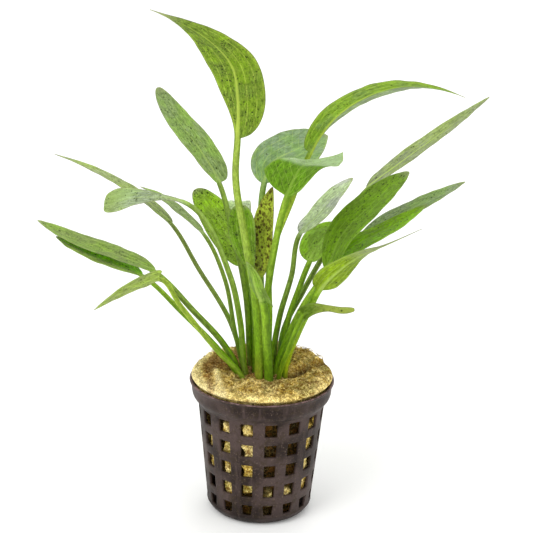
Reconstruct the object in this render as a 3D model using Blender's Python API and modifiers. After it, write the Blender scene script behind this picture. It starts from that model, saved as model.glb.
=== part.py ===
"""A potted amazon sword plant: 24 stalked leaves in a plug of rock wool, in a small net pot.

The origin is on the ground at the pot's axis, +Z is up, and -Y is the front.
Lengths in the tables are in millimetres, and MM turns them into Blender's metres.
"""

from math import atan2, cos, hypot, pi, radians, sin, tan, tau

import bmesh
import bpy
import numpy as np
from mathutils import Vector, noise

MM = 0.001

# The net pot: a turned shell with a rim, a collar and a tapered wall, open in five rows.
POT_HEIGHT = 50.0
RIM_RADIUS = 26.0
RIM_THICKNESS = 1.0
RIM_UNDERCUT = 0.4
COLLAR_RADIUS = 25.2
COLLAR_FOOT_HEIGHT = 44.4
SHOULDER_HEIGHT = 42.3
SHOULDER_RADIUS = 22.9
WALL_FOOT_HEIGHT = 3.0
WALL_FOOT_RADIUS = 18.9
FLOOR_EDGE_RADIUS = 16.6
WALL_THICKNESS = 1.0
HOLE_ROWS = 5
HOLE_HEIGHT = 4.8
LOWEST_HOLE_HEIGHT = 4.0
HOLE_PITCH = 8.2
TOP_HOLE_EDGE = 41.0
POT_COLUMNS = 32
POT_TURN = -7.0
POT_COLOUR = (0.045, 0.034, 0.032)
POT_ROUGHNESS = 0.4

# The wool plug fills the pot with a small gap, and rises in a lumpy mound round the leaves' feet.
WOOL_GAP = 0.6
WOOL_COLUMNS = 24
WOOL_MOUND = [(0.0, 46.2), (11.0, 46.2), (12.2, 49.2), (15.0, 51.8), (18.0, 53.0), (21.5, 53.2), (24.3, 52.5)]
WOOL_BULGE = (25.4, 51.2)
RIM_CLEARANCE = 0.8
SWELL_RISE = 2.0
PIT_EDGE = (1.0, 3.0)
WOOL_LIP_DROP = 0.6
WOOL_LEDGE_RISE = 1.2
MOUND_LUMP = 1.1
LUMP_SIZE = 9.0
MOUND_BACK_RISE = 0.035
WOOL_COLOUR = (0.58, 0.44, 0.18)
WOOL_ROUGHNESS = 0.95

# Every leaf's stalk starts inside the pit of the wool. It is flatter at its foot, and it runs on as
# the blade's midrib, which thins to a point. The blade opens flat over its first part.
LEAF_FOOT_HEIGHT = 47.0
STALK_STATIONS = 5
BLADE_STATIONS = 10
CORNERS = 8
STALK_FLATTENING = 0.35
STALK_TAPER = 1.2
RIB_DEPTH_SHARE = 0.9
RIB_ABOVE_SHARE = 0.4
RIB_TIP_RADIUS = 0.12
BLADE_OPENING = 0.15
BARB_REACH = 0.45
FLARE_START = 0.5
FLARE_LENGTH = 0.4
FLARE_FADE = 0.25
BLADE_THICKNESS = 0.42
TIP_THINNING = 0.6
SLOPE_STEP = 0.2
LEAF_ROUGHNESS = 0.4

YELLOW_GREEN = (0.21, 0.32, 0.025)
BRIGHT_GREEN = (0.16, 0.32, 0.025)
DEEP_GREEN = (0.1, 0.22, 0.012)
LIGHT_GREEN = (0.32, 0.43, 0.09)
GREY_GREEN = (0.2, 0.3, 0.08)
BLUE_GREEN = (0.19, 0.31, 0.11)
PALE_GREEN = (0.33, 0.44, 0.2)
OLIVE_GREEN = (0.29, 0.37, 0.13)
BROWN_GREEN = (0.15, 0.17, 0.02)

# Each leaf: where its foot is (x, y), where its midrib runs along the stalk and then along the
# blade (x, y, z), the width of the blade's left and right halves with how blunt the base and the
# tip of each are (small is blunt), the turn of the blade about its midrib at its base and its tip in
# degrees, the stalk's widths at the foot and at the blade, how far barbs at the base of each half
# reach back along the stalk, how far a ragged tip flares, and the rise of the two halves from the
# midrib in degrees.
LEAVES = {
    "leaf_top_tall": {
        "foot": (-1.0, -5.6),
        "stalk": [(-1, -6, 54), (-3, -11, 84), (-7, -14, 107), (-10.5, -18, 130)],
        "blade": [
            (-10, -20, 143), (-10, -25, 157), (-12, -31, 169),
            (-19, -37, 178), (-28, -41, 184), (-37, -43, 188),
        ],
        "left": (8, 0.5, 1.3), "right": (8, 1.9, 2), "turn": (-45, -20),
        "stalk_widths": (3.9, 2.2), "fold": 12, "colour": YELLOW_GREEN,
    },
    "leaf_upper_left": {
        "foot": (-2.8, 4.2),
        "stalk": [(-4, 4, 54), (-6, 3, 78), (-13, 10, 107)],
        "blade": [(-17, 15, 118), (-24, 20, 128), (-33.5, 26, 139), (-39.5, 33, 148)],
        "left": (6.3, 0.6, 0.45), "right": (7, 0.35, 0.6), "turn": (0, 0),
        "stalk_widths": (3.2, 2.0), "fold": 8, "colour": GREY_GREEN,
    },
    "leaf_far_left": {
        "foot": (-5.6, 3.4),
        "stalk": [(-7, 4, 54), (-11.5, 6, 68), (-24, 12, 87)],
        "blade": [(-34, 16, 102), (-45, 19, 110.5), (-60, 22, 118.5), (-77, 26, 124)],
        "left": (3.4, 0.4, 0.9), "right": (3.4, 0.4, 0.9), "turn": (0, 0),
        "stalk_widths": (2.8, 1.7), "fold": 8, "colour": OLIVE_GREEN,
    },
    "leaf_spoon_left": {
        "foot": (-4.4, -2.8),
        "stalk": [(-6, -3, 54), (-8, -3, 72), (-12, -2, 89)],
        "blade": [(-29, 3, 114), (-41, 4, 115), (-49.5, 5, 113.5), (-57, 6, 111)],
        "left": (6.2, 2.1, 0.4), "right": (6.2, 2.1, 0.4), "turn": (25, 25),
        "stalk_widths": (3.6, 1.8), "fold": 8, "colour": PALE_GREEN,
    },
    "leaf_thin_left": {
        "foot": (-5.4, 0.4),
        "stalk": [(-7, 1, 54), (-10, 1, 67), (-14, 3, 86)],
        "blade": [(-22, 8, 101), (-30, 11, 107.5), (-39, 13, 113.5), (-45, 14, 116)],
        "left": (2.75, 0.7, 0.8), "right": (2.75, 0.7, 0.8), "turn": (0, 0),
        "stalk_widths": (2.6, 1.6), "fold": 8, "colour": GREY_GREEN,
    },
    "leaf_big_left": {
        "foot": (-8.4, -0.4),
        "stalk": [(-9, -1, 54), (-13, -2, 62), (-25, 0, 75)],
        "blade": [(-39, 3, 88), (-53, 7, 92.5), (-67, 11, 96), (-82, 16, 102)],
        "left": (5.75, 0.6, 0.7), "right": (5.75, 0.6, 0.7), "turn": (0, 0),
        "stalk_widths": (3.3, 2.2), "fold": 10, "colour": GREY_GREEN,
    },
    "leaf_under_left": {
        "foot": (-7.8, -3.6),
        "stalk": [(-9, -4, 53), (-15, -6, 62), (-29, -3, 75.5)],
        "blade": [(-43.5, 3, 86.5), (-55, 6, 90), (-65.5, 9, 93.5), (-75, 13, 97)],
        "left": (6, 0.7, 0.7), "right": (6, 0.7, 0.7), "turn": (0, 0),
        "stalk_widths": (3.2, 1.8), "fold": 10, "colour": DEEP_GREEN,
    },
    "leaf_droop_left": {
        "foot": (-5.4, -6.2),
        "stalk": [(-7, -7, 53), (-15, -10, 63), (-28.5, -14, 81.5)],
        "blade": [(-36, -15, 91.5), (-41, -16, 90), (-50, -18, 86), (-58, -19, 81)],
        "left": (5, 0.35, 0.8), "right": (5, 0.15, 0.8), "turn": (0, 0),
        "stalk_widths": (2.9, 2.0), "barbs": (0, 3), "fold": 10, "colour": LIGHT_GREEN,
    },
    "leaf_broad_left": {
        "foot": (-3.0, 7.6),
        "stalk": [(-4, 8, 54), (-6, 10, 74)],
        "blade": [(-8, 13, 88), (-13.5, 17, 97), (-20, 21, 106), (-26, 25, 112.5)],
        "left": (6, 0.5, 0.5), "right": (6, 0.5, 0.5), "turn": (30, 30),
        "stalk_widths": (3.0, 2.2), "fold": 8, "colour": BRIGHT_GREEN,
    },
    "leaf_small_spotted": {
        "foot": (-2.3, 0.6),
        "stalk": [(-2.3, 0.6, 54), (-3, 1, 75)],
        "blade": [(-5, 2, 90), (-8, 3, 102), (-9, 5, 113)],
        "left": (4.5, 1, 0.45), "right": (4.5, 1, 0.45), "turn": (60, 60),
        "stalk_widths": (3.2, 2.4), "fold": 8, "colour": BRIGHT_GREEN,
    },
    "leaf_brown_spotted": {
        "foot": (0.7, 3.1),
        "stalk": [(0.3, 3.4, 54), (-1, 5, 70)],
        "blade": [(-2, 6.5, 86), (-1.5, 7, 96), (-0.5, 9, 106), (2, 11, 118)],
        "left": (4.6, 0.6, 0.75), "right": (4.6, 0.6, 0.75), "turn": (0, 0),
        "stalk_widths": (3.2, 2.6), "fold": 8, "colour": BROWN_GREEN,
    },
    "leaf_short_front": {
        "foot": (2.6, -8.6),
        "stalk": [(2.5, -9, 54), (1.5, -13, 68)],
        "blade": [(-0.5, -15.5, 85), (-2.5, -17, 90), (-4, -18, 95.5), (-6, -21, 100.5)],
        "left": (2.6, 0.25, 0.6), "right": (2.6, 0.3, 0.6), "turn": (0, 0),
        "stalk_widths": (3.9, 3.0), "barbs": (6.2, 3), "fold": 8, "colour": BRIGHT_GREEN,
    },
    "leaf_round_back": {
        "foot": (2.6, 6.6),
        "stalk": [(1, 8, 54), (-1, 10, 76), (-2, 13, 101)],
        "blade": [(-1, 16, 118), (1, 21, 123), (10.5, 30, 127), (22, 40, 130)],
        "left": (10, 0.7, 0.55), "right": (11, 0.75, 1), "turn": (-15, -15),
        "stalk_widths": (3.4, 2.2), "fold": 8, "colour": BLUE_GREEN,
    },
    "leaf_heart_centre": {
        "foot": (1.4, -2.4),
        "stalk": [(2, -3, 54), (1, -5, 81), (3, -7, 100)],
        "blade": [(7, -8, 120), (9, -8, 125.5), (11, -6, 129), (17, 3, 129), (26.5, 14, 130.5)],
        "left": (11.5, 0.45, 2.2), "right": (9.6, 1.1, 1.1), "turn": (0, 0),
        "stalk_widths": (3.2, 2.4), "fold": 8, "colour": DEEP_GREEN,
    },
    "leaf_arch_right": {
        "foot": (2.4, 0.8),
        "stalk": [(2, 1, 54), (2, 2, 71), (2, 5, 94), (9, 10, 114)],
        "blade": [(15, 12, 131), (22, 6, 144), (31, -1, 153), (43, -8, 159), (64, -18, 158)],
        "left": (8.5, 1.9, 1.1), "right": (5.8, 0.42, 0.9), "turn": (20, 27),
        "stalk_widths": (3.2, 2.0), "fold": 10, "colour": YELLOW_GREEN,
    },
    "leaf_long_right": {
        "foot": (5.6, 7.4),
        "stalk": [(6, 8, 54), (7, 11, 63), (14, 17, 77), (25, 26, 95)],
        "blade": [(36.5, 28, 113.5), (48.5, 32, 122.5), (62.5, 36, 132.5), (80.5, 41, 146)],
        "left": (5.5, 0.6, 0.8), "right": (5.2, 0.6, 0.8), "turn": (0, 0),
        "stalk_widths": (3.0, 2.0), "fold": 8, "colour": OLIVE_GREEN,
    },
    "leaf_broad_right": {
        "foot": (4.8, -2.0),
        "stalk": [(5, -2, 54), (8, -1, 64), (14, 2, 77)],
        "blade": [(22, 4, 90), (27, 8, 101.5), (37, 13, 111.5), (50.5, 20, 122.5)],
        "left": (8.5, 0.6, 0.6), "right": (8.5, 0.6, 0.6), "turn": (0, 0),
        "stalk_widths": (3.4, 2.4), "fold": 8, "colour": DEEP_GREEN,
    },
    "leaf_dark_right": {
        "foot": (9.3, 0.2),
        "stalk": [(9, 2, 54), (11, 7, 65), (19, 14, 79)],
        "blade": [(31, 20, 92), (43, 26, 101), (56, 31, 107), (73, 36, 115)],
        "left": (5.2, 0.6, 0.7), "right": (6.5, 0.6, 0.7), "turn": (0, 0),
        "stalk_widths": (2.9, 1.7), "fold": 8, "colour": BLUE_GREEN,
    },
    "leaf_low_right": {
        "foot": (6.8, 1.0),
        "stalk": [(7, 1, 54), (10, 2, 64), (16, 6, 76)],
        "blade": [(25, 10, 91), (34, 14, 97), (45.5, 18, 102.5), (58, 22, 110)],
        "left": (5.5, 0.5, 0.7), "right": (6.8, 0.5, 0.7), "turn": (0, 0),
        "stalk_widths": (3.2, 2.4), "fold": 8, "colour": DEEP_GREEN,
    },
    "leaf_edge_right": {
        "foot": (8.2, -2.8),
        "stalk": [(8, -4, 54), (12, -8, 70), (16, -11, 81)],
        "blade": [(19, -14, 89), (25, -17, 97), (31, -20, 103), (40, -25, 109), (51, -32, 117)],
        "left": (5.4, 0.5, 2.5), "right": (4.1, 0.5, 2.6), "turn": (48, 0),
        "stalk_widths": (3.0, 2.4), "fold": 8, "colour": BRIGHT_GREEN,
    },
    "leaf_lowest_right": {
        "foot": (5.4, -6.2),
        "stalk": [(6, -7, 54), (9, -10, 65), (12, -13, 75)],
        "blade": [(14, -16, 80), (17, -18, 83), (22, -19, 84), (27, -19.5, 83.5), (31, -20, 84)],
        "left": (2.8, 0.1, 2.6), "right": (1.9, 0.2, 1.4), "turn": (-40, -40),
        "stalk_widths": (2.8, 1.9), "barbs": (3.4, 1), "flare": 1.8, "fold": 8, "colour": BRIGHT_GREEN,
    },
    "leaf_pale_right": {
        "foot": (5.2, 4.0),
        "stalk": [(4, 5, 54), (5.5, 8.3, 69), (9.6, 11.2, 85)],
        "blade": [(12.5, 14, 100.5), (18.5, 18, 105.5), (24, 23, 111.5), (31, 28, 117.5)],
        "left": (4.5, 0.5, 0.6), "right": (4.5, 0.5, 0.6), "turn": (0, 0),
        "stalk_widths": (3.0, 1.9), "fold": 8, "colour": PALE_GREEN,
    },
    "leaf_hidden_right": {
        "foot": (7.6, 4.8),
        "stalk": [(7, 5, 56), (8.4, 6.8, 68), (12.2, 9.8, 80)],
        "blade": [(16, 13, 90), (19.5, 17, 95.5), (25, 20, 99), (30, 23, 101)],
        "left": (8.7, 0.6, 0.5), "right": (6.5, 0.4, 0.5), "turn": (0, 0),
        "stalk_widths": (3.0, 2.2), "fold": 8, "colour": BRIGHT_GREEN,
    },
    "leaf_thin_back": {
        "foot": (0.2, 9.0),
        "stalk": [(-1, 10, 54), (-5, 13, 74)],
        "blade": [(-9, 18, 92), (-10, 27, 105.5), (-10, 38, 104.5), (-10, 50, 99)],
        "left": (4, 0.6, 0.8), "right": (4, 0.6, 0.8), "turn": (0, 0),
        "stalk_widths": (2.6, 1.4), "fold": 8, "colour": PALE_GREEN,
    },
}


def clear_scene():
    for obj in list(bpy.data.objects):
        bpy.data.objects.remove(obj, do_unlink=True)


def make_collection(name):
    collection = bpy.data.collections.new(name)
    bpy.context.scene.collection.children.link(collection)
    return collection


def make_material(name, colour, roughness):
    material = bpy.data.materials.new(name)
    material.use_nodes = True
    shader = material.node_tree.nodes["Principled BSDF"]
    shader.inputs["Base Color"].default_value = (*colour, 1.0)
    shader.inputs["Roughness"].default_value = roughness
    shader.inputs["Metallic"].default_value = 0.0
    return material


def pot_plastic():
    return make_material("pot_plastic", POT_COLOUR, POT_ROUGHNESS)


def rock_wool():
    return make_material("rock_wool", WOOL_COLOUR, WOOL_ROUGHNESS)


def leaf_green(name, leaf):
    return make_material(name + "_green", leaf["colour"], LEAF_ROUGHNESS)


def ease(share):
    """From 0 to 1 with no corner at either end."""
    share = np.clip(share, 0.0, 1.0)
    return share * share * (3.0 - 2.0 * share)


def turned_mesh(name, profile, columns):
    """The mesh that a Screw modifier turns from an outline of (radius, height) points."""
    outline = bpy.data.meshes.new(name)
    points = [(radius * MM, 0.0, height * MM) for radius, height in profile]
    edges = [(i, i + 1) for i in range(len(points) - 1)]
    outline.from_pydata(points, edges, [])
    guide = bpy.data.objects.new(name, outline)
    bpy.context.scene.collection.objects.link(guide)
    screw = guide.modifiers.new("Turn", "SCREW")
    screw.steps = columns
    screw.render_steps = columns
    screw.use_merge_vertices = True
    screw.merge_threshold = 1e-5
    graph = bpy.context.evaluated_depsgraph_get()
    mesh = bpy.data.meshes.new_from_object(guide.evaluated_get(graph))
    mesh.name = name
    bpy.data.objects.remove(guide, do_unlink=True)
    return mesh


def wall_radius(height):
    rise = (height - WALL_FOOT_HEIGHT) / (SHOULDER_HEIGHT - WALL_FOOT_HEIGHT)
    return WALL_FOOT_RADIUS + rise * (SHOULDER_RADIUS - WALL_FOOT_RADIUS)


def hole_edges():
    """The upper and lower height of each row of holes. The lowest row is shorter."""
    tops = [TOP_HOLE_EDGE - HOLE_PITCH * row for row in range(HOLE_ROWS)]
    bottoms = [top - HOLE_HEIGHT for top in tops]
    bottoms[-1] = tops[-1] - LOWEST_HOLE_HEIGHT
    return list(zip(tops, bottoms))


def pot_profile():
    profile = [
        (RIM_RADIUS, POT_HEIGHT),
        (RIM_RADIUS, POT_HEIGHT - RIM_THICKNESS),
        (COLLAR_RADIUS, POT_HEIGHT - RIM_THICKNESS - RIM_UNDERCUT),
        (COLLAR_RADIUS, COLLAR_FOOT_HEIGHT),
        (SHOULDER_RADIUS, SHOULDER_HEIGHT),
    ]
    for top, bottom in hole_edges():
        profile += [(wall_radius(top), top), (wall_radius(bottom), bottom)]
    profile += [
        (WALL_FOOT_RADIUS, WALL_FOOT_HEIGHT),
        (FLOOR_EDGE_RADIUS, 0.0),
        (0.0, 0.0),
    ]
    return profile


def is_hole(centre):
    """Whether a face of the pot lies in an open cell: a row of holes crossed with every other column."""
    column = int((atan2(centre.y, centre.x) % tau) / (tau / POT_COLUMNS))
    height = centre.z / MM
    in_row = any(bottom <= height < top for top, bottom in hole_edges())
    return column % 2 == 1 and in_row


def make_pot(collection):
    """The turned shell, with its holes taken out and its wall thickened inwards."""
    mesh = turned_mesh("net_pot", pot_profile(), POT_COLUMNS)
    work = bmesh.new()
    work.from_mesh(mesh)
    holes = [face for face in work.faces if is_hole(face.calc_center_median())]
    bmesh.ops.delete(work, geom=holes, context="FACES")
    work.to_mesh(mesh)
    work.free()
    mesh.materials.append(pot_plastic())
    pot = bpy.data.objects.new("net_pot", mesh)
    pot.rotation_euler.z = radians(POT_TURN)
    wall = pot.modifiers.new("Wall", "SOLIDIFY")
    wall.thickness = WALL_THICKNESS * MM
    wall.offset = -1.0
    wall.use_even_offset = True
    collection.objects.link(pot)


def wool_profile():
    """From the pit round the leaves' feet over the mound and its bulge above the rim, then down
    inside the pot to its floor."""
    inside = WALL_THICKNESS + WOOL_GAP
    collar = COLLAR_RADIUS - inside
    return [
        *WOOL_MOUND,
        WOOL_BULGE,
        (collar - WOOL_LIP_DROP / 2.0, POT_HEIGHT - WOOL_LIP_DROP),
        (collar, COLLAR_FOOT_HEIGHT + WOOL_LEDGE_RISE),
        (SHOULDER_RADIUS - inside, SHOULDER_HEIGHT + WOOL_LEDGE_RISE / 2.0),
        (WALL_FOOT_RADIUS - inside, WALL_FOOT_HEIGHT + WOOL_LEDGE_RISE),
        (FLOOR_EDGE_RADIUS - inside, WALL_THICKNESS + WOOL_LEDGE_RISE),
        (0.0, inside),
    ]


def mound_height(x, y, z):
    """The wool's height with its lumps, and higher towards the back, above the pot and outside the pit."""
    inside, width = PIT_EDGE
    beyond_pit = hypot(x, y) - WOOL_MOUND[1][0] + inside
    swell = ease((z - POT_HEIGHT - RIM_CLEARANCE) / SWELL_RISE) * ease(beyond_pit / width)
    lump = noise.noise(Vector((x, y, z)) / LUMP_SIZE)
    return z + float(swell) * (MOUND_LUMP * lump + MOUND_BACK_RISE * y)


def make_wool(collection):
    mesh = turned_mesh("wool_plug", wool_profile(), WOOL_COLUMNS)
    for vertex in mesh.vertices:
        x, y, z = vertex.co / MM
        vertex.co.z = mound_height(x, y, z) * MM
    mesh.materials.append(rock_wool())
    collection.objects.link(bpy.data.objects.new("wool_plug", mesh))


def smooth_curve(points, places):
    """Places along a smooth curve through the points, counted in millimetres from its start."""
    points = np.array(points, float)
    knots = np.concatenate([[0.0], np.cumsum(np.linalg.norm(np.diff(points, axis=0), axis=1))])
    slopes = np.gradient(points, knots, axis=0, edge_order=2)
    i = np.clip(np.searchsorted(knots, places, side="right") - 1, 0, len(knots) - 2)
    span = (knots[i + 1] - knots[i])[:, None]
    share = (places - knots[i])[:, None] / span
    start = points[i] * (1.0 - ease(share)) + slopes[i] * span * share * (1.0 - share) ** 2
    return start + points[i + 1] * ease(share) - slopes[i + 1] * span * share**2 * (1.0 - share)


def route_length(points):
    return float(np.linalg.norm(np.diff(np.array(points, float), axis=0), axis=1).sum())


def stalk_route(leaf):
    return [(*leaf["foot"], LEAF_FOOT_HEIGHT), *leaf["stalk"], leaf["blade"][0]]


def leaf_stations(leaf):
    """Places along the midrib, and how far along the blade each is: below 0 on the stalk, 1 at the tip."""
    along_stalk = np.linspace(-1.0, 0.0, STALK_STATIONS, endpoint=False)
    along_blade = (1.0 - np.cos(np.linspace(0.0, pi, BLADE_STATIONS))) / 2.0
    along = np.concatenate([along_stalk, along_blade])
    stalk_length = route_length(stalk_route(leaf))
    blade_length = route_length(leaf["blade"])
    places = stalk_length + np.where(along < 0.0, along * stalk_length, along * blade_length)
    return places, along


def leaf_frames(leaf, places, along):
    """The midrib's points, with the directions across the blade and out of its upper face."""
    route = stalk_route(leaf) + leaf["blade"][1:]
    centre = smooth_curve(route, places)
    ahead = smooth_curve(route, places + SLOPE_STEP) - smooth_curve(route, places - SLOPE_STEP)
    ahead /= np.linalg.norm(ahead, axis=1)[:, None]
    outward = np.array(leaf["blade"][-1][:2], float) - np.array(leaf["blade"][0][:2], float)
    outward /= np.linalg.norm(outward)
    level = np.array([outward[1], -outward[0], 0.0])
    across = level - ahead * (ahead @ level)[:, None]
    across /= np.linalg.norm(across, axis=1)[:, None]
    upper = np.cross(across, ahead)
    base_turn, tip_turn = leaf["turn"]
    turn = np.where(along < 0.0, base_turn * (1.0 + along), base_turn + (tip_turn - base_turn) * along)
    cosine = np.cos(np.radians(turn))[:, None]
    sine = np.sin(np.radians(turn))[:, None]
    return centre, ahead, across * cosine + upper * sine, upper * cosine - across * sine


def blade_half_width(leaf, along, side):
    """A bowed outline, zero at both ends: along^base (1 - along)^tip, scaled to the half's width.
    A ragged leaf flares again before its tip."""
    most, base, tip = leaf[side]
    place = np.clip(along, 0.0, 1.0)
    widest = base / (base + tip)
    peak = widest**base * (1.0 - widest) ** tip
    flare = leaf.get("flare", 0.0) * ease((place - FLARE_START) / FLARE_LENGTH) * (1.0 - place) ** FLARE_FADE
    return most * place**base * (1.0 - place) ** tip / peak + flare


def barb_shift(leaf, along, side, sideways):
    """How far the base of a half is swept back along the stalk, most at its margin."""
    barb = leaf.get("barbs", (0.0, 0.0))[0 if side == "left" else 1]
    return barb * ease(1.0 - np.clip(along, 0.0, 1.0) / BARB_REACH) * (sideways / leaf[side][0]) ** 2


def rib_sizes(leaf, along):
    """Half the width and half the depth of the stalk, and of the midrib that it runs on as."""
    foot_width, top_width = leaf["stalk_widths"]
    foot_share = np.where(along < 0.0, np.abs(along) ** STALK_TAPER, 0.0)
    stalk = (top_width + (foot_width - top_width) * foot_share) / 2.0
    stalk *= 1.0 - np.clip(along, 0.0, 1.0)
    shape = np.where(along < 0.0, 1.0 - STALK_FLATTENING * foot_share, RIB_DEPTH_SHARE)
    return np.maximum(stalk, RIB_TIP_RADIUS), np.maximum(stalk * shape, RIB_TIP_RADIUS)


def leaf_rings(leaf):
    """Eight points round the leaf at each station: left margin, three above, right margin, three below."""
    places, along = leaf_stations(leaf)
    centre, ahead, across, upper = leaf_frames(leaf, places, along)
    rib_width, rib_depth = rib_sizes(leaf, along)
    opened = ease(along / BLADE_OPENING)
    sheet = BLADE_THICKNESS / 2.0 * (1.0 - TIP_THINNING * np.clip(along, 0.0, 1.0) ** 4)
    fold = tan(radians(leaf["fold"]))
    rings = []
    for corner in range(CORNERS):
        angle = pi - corner * tau / CORNERS
        wing = 1.0 - abs(corner - CORNERS // 2) / (CORNERS // 4)
        side = "left" if wing < 0.0 else "right"
        half_width = blade_half_width(leaf, along, side)
        depth = rib_depth * sin(angle)
        if corner % 2 == 1:
            depth = depth * (1.0 - opened) + np.sign(sin(angle)) * sheet * opened
        if corner == CORNERS // 4:
            depth = depth * (1.0 - (1.0 - RIB_ABOVE_SHARE) * opened)
        sideways = rib_width * cos(angle) + half_width * wing
        depth = depth + half_width * abs(wing) * fold
        back = barb_shift(leaf, along, side, half_width * wing)
        rings.append(centre + across * sideways[:, None] + upper * depth[:, None] - ahead * back[:, None])
    return np.stack(rings, axis=1)


def loft(name, rings):
    """A closed body through rings of points, with a flat cap at each end."""
    corners = rings.shape[1]
    work = bmesh.new()
    vertices = [[work.verts.new(Vector(point) * MM) for point in ring] for ring in rings]
    for lower, higher in zip(vertices, vertices[1:]):
        for i in range(corners):
            j = (i + 1) % corners
            work.faces.new((lower[i], lower[j], higher[j], higher[i]))
    work.faces.new(vertices[0][::-1])
    work.faces.new(vertices[-1])
    bmesh.ops.recalc_face_normals(work, faces=work.faces)
    mesh = bpy.data.meshes.new(name)
    work.to_mesh(mesh)
    work.free()
    mesh.shade_smooth()
    return mesh


def make_leaf(collection, name, leaf):
    mesh = loft(name, leaf_rings(leaf))
    mesh.materials.append(leaf_green(name, leaf))
    collection.objects.link(bpy.data.objects.new(name, mesh))


def main():
    clear_scene()
    plant = make_collection("potted_sword_plant")
    make_pot(plant)
    make_wool(plant)
    for name, leaf in LEAVES.items():
        make_leaf(plant, name, leaf)


main()
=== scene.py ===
# Young sword plant in a net pot: fine leaves, a fibrous wool plug and a moulded pot, dressed on
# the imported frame. Tables are in millimetres, and mm turns them into metres
from math import pi, radians, tan
from types import SimpleNamespace

import bpy
import numpy as np
from mathutils import Matrix, Vector


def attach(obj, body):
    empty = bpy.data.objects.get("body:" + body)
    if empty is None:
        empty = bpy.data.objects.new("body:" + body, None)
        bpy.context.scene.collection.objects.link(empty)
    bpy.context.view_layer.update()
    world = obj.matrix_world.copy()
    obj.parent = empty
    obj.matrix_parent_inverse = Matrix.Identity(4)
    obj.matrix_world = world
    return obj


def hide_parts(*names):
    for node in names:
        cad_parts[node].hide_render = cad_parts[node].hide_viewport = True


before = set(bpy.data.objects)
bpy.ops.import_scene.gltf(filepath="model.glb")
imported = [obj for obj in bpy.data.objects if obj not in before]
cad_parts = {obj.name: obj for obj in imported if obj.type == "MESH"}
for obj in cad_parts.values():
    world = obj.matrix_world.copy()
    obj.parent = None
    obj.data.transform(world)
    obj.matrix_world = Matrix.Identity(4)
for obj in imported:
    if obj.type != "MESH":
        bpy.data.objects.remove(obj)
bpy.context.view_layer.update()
mm = 0.001
print("frame loaded:", len(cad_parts), "nodes")


def easeStep(share):
    # from 0 to 1 with no corner at either end
    share = np.clip(share, 0.0, 1.0)
    return share * share * (3.0 - 2.0 * share)


def bell(distance, width):
    # one at no distance, falling off both ways as exp(-(distance / width)^2)
    return np.exp(-((distance / width) ** 2))


def softNoise(x, y, z, frequency, seed):
    # a smooth random height of about -1 to 1: the sum of eight sine waves of about the given
    # frequency, each along a way of its own
    draw = np.random.default_rng(seed)
    total = np.zeros_like(x)
    for _ in range(8):
        way = draw.normal(size=3)
        way /= np.linalg.norm(way)
        pace = frequency * 2.0 * pi * draw.uniform(0.7, 1.4)
        total = total + np.sin(pace * (way[0] * x + way[1] * y + way[2] * z) + draw.uniform(0.0, 2.0 * pi))
    return total / 3.0


def gridFaces(rows, columns, closed):
    # quads between neighbouring places of a grid; closed joins its last column to its first
    row = np.arange(rows - 1)[:, None]
    column = np.arange(columns if closed else columns - 1)[None, :]
    after = (column + 1) % columns
    corners = (
        row * columns + column,
        row * columns + after,
        (row + 1) * columns + after,
        (row + 1) * columns + column,
    )
    return np.stack(corners, axis=-1).reshape(-1, 4)


def fanFaces(centre, ring):
    # triangles from a pole to each edge of a ring
    return np.stack([np.full(len(ring), centre), ring, np.roll(ring, -1)], axis=-1)


def makeMesh(name, points, quads, triangles=None):
    # a smooth mesh of points in millimetres, with its faces' corners in order
    if triangles is None:
        triangles = np.zeros((0, 3), int)
    corners = np.concatenate([quads.ravel(), triangles.ravel()]).astype(np.int32)
    starts = np.concatenate([np.arange(len(quads)) * 4, len(quads) * 4 + np.arange(len(triangles)) * 3])
    mesh = bpy.data.meshes.new(name)
    mesh.vertices.add(len(points))
    mesh.loops.add(len(corners))
    mesh.polygons.add(len(starts))
    mesh.vertices.foreach_set("co", (points * mm).astype(np.float32).ravel())
    mesh.loops.foreach_set("vertex_index", corners)
    mesh.polygons.foreach_set("loop_start", starts.astype(np.int32))
    mesh.update(calc_edges=True)
    mesh.validate()
    mesh.shade_smooth()
    return mesh, corners


def closedRings(name, points, reverse=False):
    # a mesh of rings of points joined row to row, with a fan round the middle of each end ring
    rows, columns, _ = points.shape
    total = rows * columns
    first = np.arange(columns)
    last = first + total - columns
    quads = gridFaces(rows, columns, True)
    triangles = np.concatenate([fanFaces(total, first[::-1]), fanFaces(total + 1, last)])
    if reverse:
        quads, triangles = quads[:, ::-1], triangles[:, ::-1]
    ends = np.stack([points[0].mean(axis=0), points[-1].mean(axis=0)])
    return makeMesh(name, np.concatenate([points.reshape(-1, 3), ends]), quads, triangles)


def withEnds(values):
    # a grid's values, and then those of its first and last row for the two middles
    return np.concatenate([values.reshape(-1, 3), values[0, :1], values[-1, :1]])


def addVectors(mesh, name, values):
    # three numbers for each point, which the materials read by name
    values = np.ascontiguousarray(values, np.float32)
    mesh.attributes.new(name, "FLOAT_VECTOR", "POINT").data.foreach_set("vector", values.ravel())


def addPiece(name, mesh, nodes, material):
    # a finished piece in the place of the CAD nodes that it dresses
    piece = bpy.data.objects.new(name, mesh)
    bpy.context.scene.collection.objects.link(piece)
    mesh.materials.append(material)
    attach(piece, "root")
    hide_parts(*nodes)
    return piece


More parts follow.
